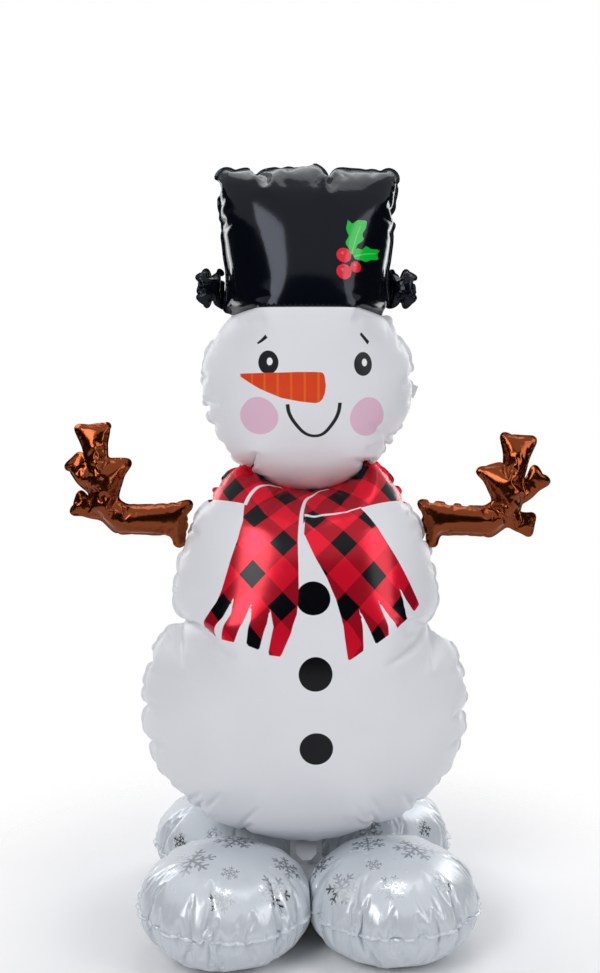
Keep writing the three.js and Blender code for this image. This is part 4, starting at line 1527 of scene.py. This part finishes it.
@dataclass(frozen=True)
class ScarfArt:
    """The scarf and buttons printed on the body.

    From neck_at up it is printed taller, neck_tall.
    """

    collar: Patch = Patch((
        (-320.0, 872.0), (-208.2, 838.0), (-158.8, 821.7), (-125.0, 812.0), (-56.6, 777.1),
        (-11.7, 758.2), (-6.4, 788.8), (35.1, 788.1), (69.7, 797.6), (98.8, 802.6),
        (145.3, 818.4), (205.0, 838.0), (320.0, 872.0), (320.0, 1100.0), (-320.0, 1100.0),
    ))
    back_collar: Patch = Patch((
        (-320.0, 872.0), (-208.2, 838.0), (-100.0, 812.0), (0.0, 803.0), (100.0, 812.0),
        (205.0, 838.0), (320.0, 872.0), (320.0, 1100.0), (-320.0, 1100.0),
    ))
    left_tail: Patch = Patch((
        (-124.9, 813.0), (-123.4, 768.6), (-131.2, 730.1), (-142.7, 692.4), (-155.9, 646.9),
        (-166.3, 614.5), (-203.0, 561.0), (-176.8, 554.4), (-148.5, 585.0), (-132.4, 623.2),
        (-133.7, 590.8), (-153.8, 551.6), (-128.4, 546.9), (-110.5, 574.9), (-99.1, 610.6),
        (-97.5, 579.6), (-107.2, 543.5), (-85.8, 537.3), (-69.8, 572.5), (-66.7, 603.8),
        (-58.6, 567.6), (-71.1, 531.3), (-49.0, 528.9), (-29.8, 559.3), (-20.2, 590.8),
        (-18.0, 633.3), (-18.8, 675.5), (-20.5, 727.9), (-19.1, 788.5), (-10.0, 846.0),
        (20.0, 890.0), (-20.0, 930.0), (-90.0, 900.0),
    ))
    right_tail: Patch = Patch((
        (-9.5, 738.9), (10.1, 692.4), (31.1, 654.7), (46.5, 618.0), (54.3, 585.9), (60.9, 555.1),
        (70.4, 523.3), (95.9, 537.9), (90.0, 570.8), (85.0, 603.6), (98.3, 570.9), (116.6, 546.2),
        (138.9, 558.6), (129.1, 590.0), (120.3, 622.1), (134.1, 595.7), (154.1, 567.1),
        (176.8, 585.4), (174.4, 618.9), (168.5, 648.7), (181.7, 622.2), (199.1, 600.8),
        (218.6, 617.1), (202.7, 645.7), (177.2, 681.3), (148.9, 721.8), (123.6, 763.3),
        (100.1, 802.5), (40.0, 815.0), (-6.0, 795.0),
    ))
    piping: tuple[Stroke, ...] = (
        Stroke(((-123.5, 809.0), (-117.4, 837.3), (-106.9, 864.9), (-88.9, 888.0), (-66.0, 901.0),
                (-40.0, 907.0)), 3.6, 2.2),
        Stroke(((-15.0, 728.0), (-15.4, 766.4), (-13.3, 803.0), (-6.4, 842.4), (7.0, 872.0),
                (24.0, 891.0), (46.0, 903.0)), 4.2, 2.0),
        Stroke(((-9.0, 787.5), (11.8, 788.7), (35.0, 788.9), (57.8, 792.5), (81.4, 798.1),
                (101.6, 804.6)), 3.6, 1.4),
    )
    buttons: tuple[Oval, ...] = (
        Oval(7.2, 618.3, 29.7, 30.0), Oval(12.6, 500.3, 30.2, 29.0), Oval(15.9, 364.2, 28.9, 29.0),
    )
    check_wide: float = 54.5
    check_tall: float = 58.0
    check_x: float = -46.0
    check_z: float = 720.0
    neck_at: float = 784.0
    neck_tall: float = 76.0
    top: float = 1100.0
    band: float = 0.226

    def print_on(self, body: bpy.types.Object) -> None:
        """Work out the artwork's distances and the check's coordinates on the body film.

        The two diagonals are half the sum and half the difference of the column and row counts.
        """
        cut, front = cut_and_front(body)
        scarf = nearest((self.collar, self.left_tail, self.right_tail), cut, front)
        store(body, "scarf", np.where(front, scarf, nearest((self.back_collar,), cut, ~front)))
        store(body, "buttons", nearest(self.buttons, cut, front))
        column = (cut[:, 0] - self.check_x) / self.check_wide
        neck = 1.1
        row = np.interp(cut[:, 1], [0.0, self.check_z, self.neck_at, self.top],
                        [-self.check_z / self.check_tall, 0.0, neck,
                         neck + (self.top - self.neck_at) / self.neck_tall])
        diagonals = np.column_stack([(column + row) / 2, (row - column) / 2, np.zeros(len(row))])
        store_vector(body, "check", diagonals)
        for number, line in enumerate(self.piping):
            line.print_on(body, f"piping_{number}", cut, front)

    def ink(self, pattern: "Pattern", colour: Socket, rough: Socket) -> tuple:
        """Lay the inks over the film: buttons, the checked scarf, then the white piping.

        The scarf's and buttons' inks are clear, so that the metal under them shows as gloss.
        """
        black, white = linear("#0B0C12"), linear("#E9EAF0")
        scarf = pattern.inside(pattern.kept("scarf"), 0.45)
        piping = pattern.stroke("piping_0")
        for name in ("piping_1", "piping_2"):
            piping = pattern.sum(Sum.MAX, piping, pattern.stroke(name))
        scarf = pattern.sum(Sum.MULTIPLY, scarf, pattern.rest(piping))
        button = pattern.inside(pattern.kept("buttons"), 0.45)
        first, second, _ = pattern.vector("check")
        bands = []
        for diagonal in (first, second):
            off = pattern.sum(Sum.PING_PONG, diagonal, 0.5)
            bands.append(pattern.inside(pattern.sum(Sum.SUBTRACT, off, self.band), 0.006))
        either = pattern.sum(Sum.MAX, bands[0], bands[1])
        both = pattern.sum(Sum.MULTIPLY, bands[0], bands[1])
        red = pattern.blend(either, linear("#EE1633"), linear("#B31227"))
        red = pattern.blend(both, red, black)
        colour = pattern.blend(button, colour, black)
        colour = pattern.blend(scarf, colour, red)
        colour = pattern.blend(piping, colour, white)
        shiny = pattern.sum(Sum.MULTIPLY, button, pattern.rest(piping))
        shiny = pattern.sum(Sum.MAX, scarf, shiny)
        rough = pattern.sum(Sum.SUBTRACT, rough, pattern.sum(Sum.MULTIPLY, shiny, 0.2))
        return colour, rough, pattern.sum(Sum.MULTIPLY, shiny, 0.35)


@dataclass(frozen=True)
class HollyArt:
    """The sprig printed on the hat's front: two leaves and three berries."""

    leaves: tuple[Patch, ...] = (
        Patch(((68.6, 1480.0), (75.9, 1471.3), (87.1, 1480.8), (104.9, 1482.2), (103.3, 1468.5),
               (95.4, 1455.5), (99.9, 1445.1), (85.8, 1432.9), (80.2, 1418.5), (75.6, 1410.1),
               (70.4, 1424.6), (63.0, 1433.1), (70.3, 1447.5), (64.9, 1460.2))),
        Patch(((78.4, 1412.4), (85.9, 1427.2), (96.4, 1425.4), (104.7, 1434.7), (116.7, 1431.7),
               (141.8, 1435.8), (134.1, 1424.3), (142.1, 1416.6), (119.1, 1411.2), (107.2, 1404.7),
               (93.4, 1405.6), (82.8, 1405.6))),
    )
    veins: tuple[Stroke, ...] = (
        Stroke(((75.6, 1412.0), (82.0, 1440.0), (92.0, 1470.0)), 1.5, 0.8),
        Stroke(((80.0, 1410.0), (104.0, 1419.0), (130.0, 1426.0)), 1.5, 0.8),
    )
    berries: tuple[Oval, ...] = (
        Oval(61.6, 1410.0, 13.6, 14.0), Oval(62.2, 1378.5, 14.2, 14.2),
        Oval(85.8, 1390.8, 11.2, 10.6),
    )

    def print_on(self, hat: bpy.types.Object) -> None:
        """Work out the artwork's distances on the hat film."""
        cut, front = cut_and_front(hat)
        store(hat, "leaves", nearest(self.leaves, cut, front))
        store(hat, "berries", nearest(self.berries, cut, front))
        spots = tuple(Oval(b.x - 3.0, b.z + 4.0, 3.4, 3.2) for b in self.berries)
        store(hat, "berry_spots", nearest(spots, cut, front))
        for number, vein in enumerate(self.veins):
            vein.print_on(hat, f"vein_{number}", cut, front)

    def ink(self, pattern: "Pattern", colour: Socket, rough: Socket) -> tuple:
        """Lay the inks over the film: green leaves with paler veins, then red berries."""
        leaf = pattern.inside(pattern.kept("leaves"), 0.4)
        colour = pattern.blend(leaf, colour, linear("#0FBE3C"))
        for name in ("vein_0", "vein_1"):
            vein = pattern.sum(Sum.MULTIPLY, pattern.stroke(name), leaf)
            colour = pattern.blend(vein, colour, linear("#4FDC62"))
        berry = pattern.inside(pattern.kept("berries"), 0.4)
        colour = pattern.blend(berry, colour, linear("#E21A33"))
        colour = pattern.cover("berry_spots", 0.6, colour, "#F2596A")
        bare = pattern.rest(pattern.sum(Sum.MAX, leaf, berry))
        metal = pattern.sum(Sum.MULTIPLY, bare, 0.5)
        return colour, rough, metal


@dataclass(frozen=True)
class Flake:
    """A printed snowflake: its centre, its arms' length in millimetres and its turn in radians."""

    x: float
    z: float
    arm: float
    turn: float


@dataclass(frozen=True)
class FlakeArt:
    """Silver snowflakes printed on the tops of the cushions.

    line is half an arm's width, and each of the barbs is its place on the arm and its reach across,
    all in arm lengths.
    """

    front_left: tuple[Flake, ...] = (
        Flake(-67, -8, 42, 0.2), Flake(-50, -117, 23, 0.5), Flake(47, -121, 33, 0.1),
        Flake(92, -58, 30, 0.7), Flake(29, 38, 40, 0.3), Flake(-20, -72, 17, 0.0),
        Flake(-100, 78, 20, 0.4), Flake(40, 122, 26, 0.9),
    )
    front_right: tuple[Flake, ...] = (
        Flake(86, 106, 34, 0.2), Flake(-19, 130, 31, 0.5), Flake(-88, 68, 25, 0.9),
        Flake(-27, -32, 40, 0.1), Flake(42, 19, 34, 0.6), Flake(-120, -20, 20, 0.3),
        Flake(60, -90, 30, 0.8), Flake(-30, 62, 16, 0.0),
    )
    back_left: tuple[Flake, ...] = (
        Flake(144, 55, 18, 0.2), Flake(20, 30, 40, 0.5), Flake(-80, -60, 30, 0.9),
        Flake(60, -90, 34, 0.1), Flake(-60, 90, 26, 0.6), Flake(90, 100, 20, 0.3),
    )
    back_right: tuple[Flake, ...] = (
        Flake(111, -64, 32, 0.2), Flake(120, 57, 20, 0.5), Flake(10, 10, 40, 0.9),
        Flake(-90, -50, 30, 0.1), Flake(20, -120, 26, 0.6), Flake(-30, 110, 30, 0.3),
    )
    line: float = 0.055
    barbs: tuple[tuple[float, float], ...] = ((0.36, 0.22), (0.66, 0.26))

    def print_on(self, film: bpy.types.Object, flakes: tuple[Flake, ...], seam: float) -> None:
        """Give each corner of a face its place on the nearest flake, in arm lengths.

        Args:
            film: The cushion.
            flakes: Its flakes.
            seam: The height of its seam, above which it is printed.
        """
        mesh = film.data
        corners = np.empty(len(mesh.loops), dtype=np.int32)
        mesh.loops.foreach_get("vertex_index", corners)
        cut = cut_of(mesh)[corners].reshape(-1, 4, 2)
        height = mesh_points(mesh)[corners, 2].reshape(-1, 4).mean(1)
        centres = np.array([[flake.x, flake.z] for flake in flakes])
        arms = np.array([flake.arm for flake in flakes])
        turns = np.array([flake.turn for flake in flakes])
        away = np.linalg.norm(cut.mean(1)[:, None] - centres[None], axis=2) / arms[None]
        pick = np.argmin(away, axis=1)
        local = (cut - centres[pick][:, None]) / arms[pick][:, None, None]
        c, s = np.cos(turns[pick])[:, None], np.sin(turns[pick])[:, None]
        u, v = c * local[..., 0] - s * local[..., 1], s * local[..., 0] + c * local[..., 1]
        bare = height < seam + 4 * MM
        u[bare] = v[bare] = FAR
        store_vector(film, "flake", np.stack([u, v, np.zeros_like(u)], axis=-1), "CORNER")

    def ink(self, pattern: "Pattern", colour: Socket, rough: Socket) -> tuple:
        """Lay bare silver where a flake is.

        The angle is folded into a twelfth of a turn. With p along the arm and q across it, the arm
        is where q is under the line's half width. A barb is a line that leaves the arm at 60
        degrees: its distance is the sine of that times p, less the cosine times q.
        """
        u, v, _ = pattern.vector("flake")
        across, up = pattern.sum(Sum.MULTIPLY, u, u), pattern.sum(Sum.MULTIPLY, v, v)
        squares = pattern.sum(Sum.ADD, across, up)
        radius = pattern.sum(Sum.ROOT, squares)
        fold = pattern.sum(Sum.PING_PONG, pattern.sum(Sum.ANGLE, v, u), math.pi / 6)
        p = pattern.sum(Sum.MULTIPLY, radius, pattern.sum(Sum.COSINE, fold))
        q = pattern.sum(Sum.MULTIPLY, radius, pattern.sum(Sum.SINE, fold))
        wide, past = pattern.sum(Sum.SUBTRACT, q, self.line), pattern.sum(Sum.SUBTRACT, p, 1.0)
        shape = pattern.sum(Sum.MAX, wide, past)
        for start, length in self.barbs:
            ahead = pattern.sum(Sum.SUBTRACT, p, start)
            ahead = pattern.sum(Sum.MULTIPLY, ahead, math.sin(math.pi / 3))
            beside = pattern.sum(Sum.MULTIPLY, q, math.cos(math.pi / 3))
            off = pattern.sum(Sum.ABS, pattern.sum(Sum.SUBTRACT, ahead, beside))
            wide = pattern.sum(Sum.SUBTRACT, off, self.line)
            barb = pattern.sum(Sum.MAX, wide, pattern.sum(Sum.SUBTRACT, q, length))
            shape = pattern.sum(Sum.MIN, shape, barb)
        silver = pattern.inside(shape, 0.012)
        colour = pattern.blend(silver, colour, linear("#B9BDC3"))
        rough = pattern.sum(Sum.SUBTRACT, rough, pattern.sum(Sum.MULTIPLY, silver, 0.06))
        metal = pattern.sum(Sum.ADD, 0.12, pattern.sum(Sum.MULTIPLY, silver, 0.83))
        return colour, rough, metal


def dress(item: bpy.types.Object, material: bpy.types.Material) -> None:
    """Give an object one material."""
    item.data.materials.clear()
    item.data.materials.append(material)


# ------------------------------------------------------------------ the studio
@dataclass
class Studio:
    """A pale floor that fades into a white surround, dark flats, soft lamps and the camera.

    The floor is plain up to fade_from and has faded out at fade_to, both from the object's middle.
    """

    camera_at: tuple[float, float, float] = (-0.081, -1.7985, 0.8927)
    heading: float = 0.0387
    pitch: float = -0.0487
    lens: float = 35.68
    sensor: float = 36.0
    floor_radius: float = 3.2
    flat_radius: float = 3.6
    flat_height: float = 2.6
    fade_from: float = 0.36
    fade_to: float = 0.95

    def build(self) -> None:
        """Make the floor, the surround, the lamps and the camera."""
        self._floor()
        self._surround()
        self._flats()
        self._lamp("key", (-1.7, -2.4, 2.3), (0.0, 0.0, 0.75), (1.3, 1.7), 46.0)
        self._lamp("fill", (2.3, -1.7, 1.6), (0.0, 0.0, 0.7), (1.0, 2.0), 24.0)
        self._lamp("top", (0.2, 0.5, 3.2), (0.0, 0.0, 0.6), (2.2, 1.6), 26.0)
        self._lamp("back_left", (-2.0, 1.9, 1.5), (0.0, 0.0, 0.7), (0.8, 1.8), 16.0)
        self._lamp("back_right", (2.0, 1.9, 1.5), (0.0, 0.0, 0.7), (0.8, 1.8), 16.0)
        self._camera()

    def _camera(self) -> None:
        """Place the camera and look along its heading, pitched a little down."""
        data = bpy.data.cameras.new("camera")
        data.sensor_fit = "VERTICAL"
        data.sensor_height = self.sensor
        data.lens = self.lens
        item = bpy.data.objects.new("camera", data)
        bpy.context.scene.collection.objects.link(item)
        item.location = self.camera_at
        item.rotation_euler = (math.pi / 2 + self.pitch, 0.0, -self.heading)
        bpy.context.scene.camera = item

    def _lamp(self, name: str, place: tuple, aim: tuple, size: tuple, power: float) -> None:
        """Add a rectangular soft lamp of a size in metres, turned to its aim."""
        data = bpy.data.lights.new(name, "AREA")
        data.shape = "RECTANGLE"
        data.size, data.size_y = size
        data.energy = power
        item = bpy.data.objects.new(name, data)
        bpy.context.scene.collection.objects.link(item)
        item.location = place
        item.rotation_euler = (Vector(aim) - Vector(place)).to_track_quat("-Z", "Y").to_euler()

    def _flats(self) -> None:
        """Stand dark flats round the front and sides, so that gloss has something to show.

        They are an upright strip bent round a circle, open behind the object, and the camera does
        not see them directly.
        """
        count = 60
        turn = np.linspace(math.radians(-222.0), math.radians(42.0), count)
        ring = self.flat_radius * np.column_stack([np.cos(turn), np.sin(turn)])
        low = np.column_stack([ring, np.full(count, -0.05)])
        high = np.column_stack([ring, np.full(count, self.flat_height)])
        faces = [[k, k + 1, count + 1 + k, count + k] for k in range(count - 1)]
        mesh = bpy.data.meshes.new("flats")
        mesh.from_pydata(np.vstack([low, high]).tolist(), [], faces)
        item = bpy.data.objects.new("flats", mesh)
        bpy.context.scene.collection.objects.link(item)
        material, tree = node_material("black serge")
        ray = add_node(tree, "LightPath")
        cloth = add_node(tree, "BsdfDiffuse", None, Color=linear("#2B2C31"))
        clear = add_node(tree, "BsdfTransparent")
        mixed = add_node(tree, "MixShader", None, i0=ray.outputs["Is Camera Ray"],
                         i1=cloth.outputs[0], i2=clear.outputs[0])
        add_node(tree, "OutputMaterial", None, Surface=mixed.outputs[0])
        item.data.materials.append(material)
        item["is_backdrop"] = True

    def _surround(self) -> None:
        """Make the world: white where it is seen, openly or in gloss, and pale grey as light."""
        world = bpy.data.worlds.new("surround")
        bpy.context.scene.world = world
        world.use_nodes = True
        tree = world.node_tree
        tree.nodes.clear()
        pattern = Pattern(tree)
        ray = add_node(tree, "LightPath").outputs
        seen = pattern.sum(Sum.MAX, ray["Is Camera Ray"], ray["Is Transmission Ray"])
        seen = pattern.sum(Sum.MAX, seen, ray["Is Glossy Ray"])
        light = add_node(tree, "Background", None, Color=linear("#F2F4F8"), Strength=0.42)
        white = add_node(tree, "Background", None, Color=(1.0, 1.0, 1.0, 1.0), Strength=1.0)
        mixed = add_node(tree, "MixShader", None, i0=seen, i1=light.outputs[0], i2=white.outputs[0])
        add_node(tree, "OutputWorld", None, Surface=mixed.outputs[0])

    def _floor(self) -> None:
        """Make a disc that is plain floor near the object and fades out to the surround."""
        count = 96
        turn = np.linspace(0.0, 2 * math.pi, count, endpoint=False)
        ring = self.floor_radius * np.column_stack([np.cos(turn), np.sin(turn), np.zeros(count)])
        mesh = bpy.data.meshes.new("floor")
        mesh.from_pydata((ring - [0.0, 0.0, 0.2 * MM]).tolist(), [], [list(range(count))])
        item = bpy.data.objects.new("floor", mesh)
        bpy.context.scene.collection.objects.link(item)
        material, tree = node_material("painted floor")
        pattern = Pattern(tree)
        away = add_node(tree, "VectorMath", {"operation": "LENGTH"}, i0=pattern.place())
        fade = add_node(tree, "MapRange", {"interpolation_type": "SMOOTHSTEP"},
                        Value=away.outputs["Value"], From_Min=self.fade_from,
                        From_Max=self.fade_to, To_Min=0.0, To_Max=1.0).outputs[0]
        ray = add_node(tree, "LightPath")
        seen = pattern.sum(Sum.MAX, ray.outputs["Is Camera Ray"], ray.outputs["Is Glossy Ray"])
        paint = add_node(tree, "BsdfDiffuse", None, Color=linear("#FBFBFC"))
        clear = add_node(tree, "BsdfTransparent")
        share = pattern.sum(Sum.MULTIPLY, fade, seen)
        mixed = add_node(tree, "MixShader", None, i0=share, i1=paint.outputs[0],
                         i2=clear.outputs[0])
        add_node(tree, "OutputMaterial", None, Surface=mixed.outputs[0])
        item.data.materials.append(material)
        item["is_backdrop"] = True


# ------------------------------------------------------------------ assembly
@dataclass(frozen=True)
class Finishes:
    """The finishes of the record's material slots."""

    # Printed with a dense matt white, so that it looks like satin paper with soft gathers.
    white: FilmFinish = FilmFinish(
        "white matt nylon film", "#EDEEF3", metal=0.0, roughness=0.40, sheen=0.04,
        wrinkle=0.10 * MM, wrinkle_size=0.018, pucker=1.7 * MM, pucker_apart=7.5,
        pucker_reach=46.0, specular=0.28)
    # A thin white over metal: some of the metal shows, so it has broad soft lights.
    pearl: FilmFinish = FilmFinish(
        "pearl nylon film", "#D6DCE3", metal=0.12, roughness=0.26, sheen=0.04,
        wrinkle=0.12 * MM, wrinkle_size=0.022, pucker=1.3 * MM, pucker_apart=8.0,
        pucker_reach=50.0)
    # A clear black over bright metal: it mirrors the studio sharply, but dark.
    black: FilmFinish = FilmFinish(
        "black metallised film", "#0E131C", metal=0.5, roughness=0.12, sheen=0.03,
        wrinkle=0.12 * MM, wrinkle_size=0.02, pucker=1.3 * MM, pucker_apart=8.0,
        pucker_reach=34.0, specular=0.28)
    # A clear brown over bright metal: a coloured mirror, broken up by many small creases.
    copper: FilmFinish = FilmFinish(
        "copper metallised film", "#7A3C20", metal=0.95, roughness=0.17, sheen=0.04,
        wrinkle=0.25 * MM, wrinkle_size=0.014, pucker=0.6 * MM, pucker_apart=8.0,
        pucker_reach=14.0)
    # Plain soft plastic, and the coarser sack that holds the weight.
    clear: FilmFinish = FilmFinish(
        "clear polythene", "#EEF0F4", metal=0.0, roughness=0.3, sheen=0.05,
        wrinkle=0.2 * MM, wrinkle_size=0.006)
    tail: FilmFinish = FilmFinish(
        "white film tail", "#DADDE3", metal=0.1, roughness=0.35, sheen=0.05,
        wrinkle=0.3 * MM, wrinkle_size=0.008)
    ballast: FilmFinish = FilmFinish(
        "woven polypropylene", "#B8B2A6", metal=0.0, roughness=0.7, sheen=0.05,
        wrinkle=0.2 * MM, wrinkle_size=0.003)


def main() -> None:
    """Build the snowman's sub-assemblies in order, dress them and set the studio."""
    logging.basicConfig(level=logging.INFO, format="%(name)s: %(message)s")
    scene = bpy.context.scene
    scene.view_settings.view_transform = "Standard"
    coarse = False
    finishes = Finishes()
    Studio().build()
    figure = Figure()
    figure.build(coarse)
    figure.attach()
    for item, finish, art in (
        (figure.body_film, finishes.white, ScarfArt()),
        (figure.head_film, finishes.white, FaceArt()),
        (figure.hat_film, finishes.black, HollyArt()),
    ):
        art.print_on(item)
        dress(item, finish.make(art.ink))
    base = Base()
    base.build(coarse)
    base.attach()
    limbs = Limbs()
    limbs.build(coarse)
    limbs.attach()
    copper, black = finishes.copper.make(), finishes.black.make()
    for limb in limbs.parts:
        dress(limb.film, copper if limb.slot is FilmSlot.COPPER else black)
    flakes = FlakeArt()
    pearl = finishes.pearl.make(flakes.ink)
    printed = (flakes.front_left, flakes.front_right, flakes.back_left, flakes.back_right)
    for cushion, own in zip(base.cushions, printed):
        flakes.print_on(cushion.film, own, cushion.seam)
        dress(cushion.film, pearl)
    clear = finishes.clear.make()
    for name in ("base_centre_web", "base_tie_strap", "figure_tie_strap"):
        dress(frame["nodes"][name], clear)
    for name in ("body", "head", "left_arm", "right_arm", *(item.name for item in base.cushions)):
        dress(frame["nodes"][name + "_valve"], clear)
    dress(frame["nodes"]["ballast_bag"], finishes.ballast.make())
    dress(frame["nodes"]["body_fill_tail"], finishes.tail.make())
    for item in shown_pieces():
        log.info("%s rides %s, lowest %.4f", item.name, body_of(item),
                 mesh_points(item.data)[:, 2].min())


if __name__ == "__main__":
    main()
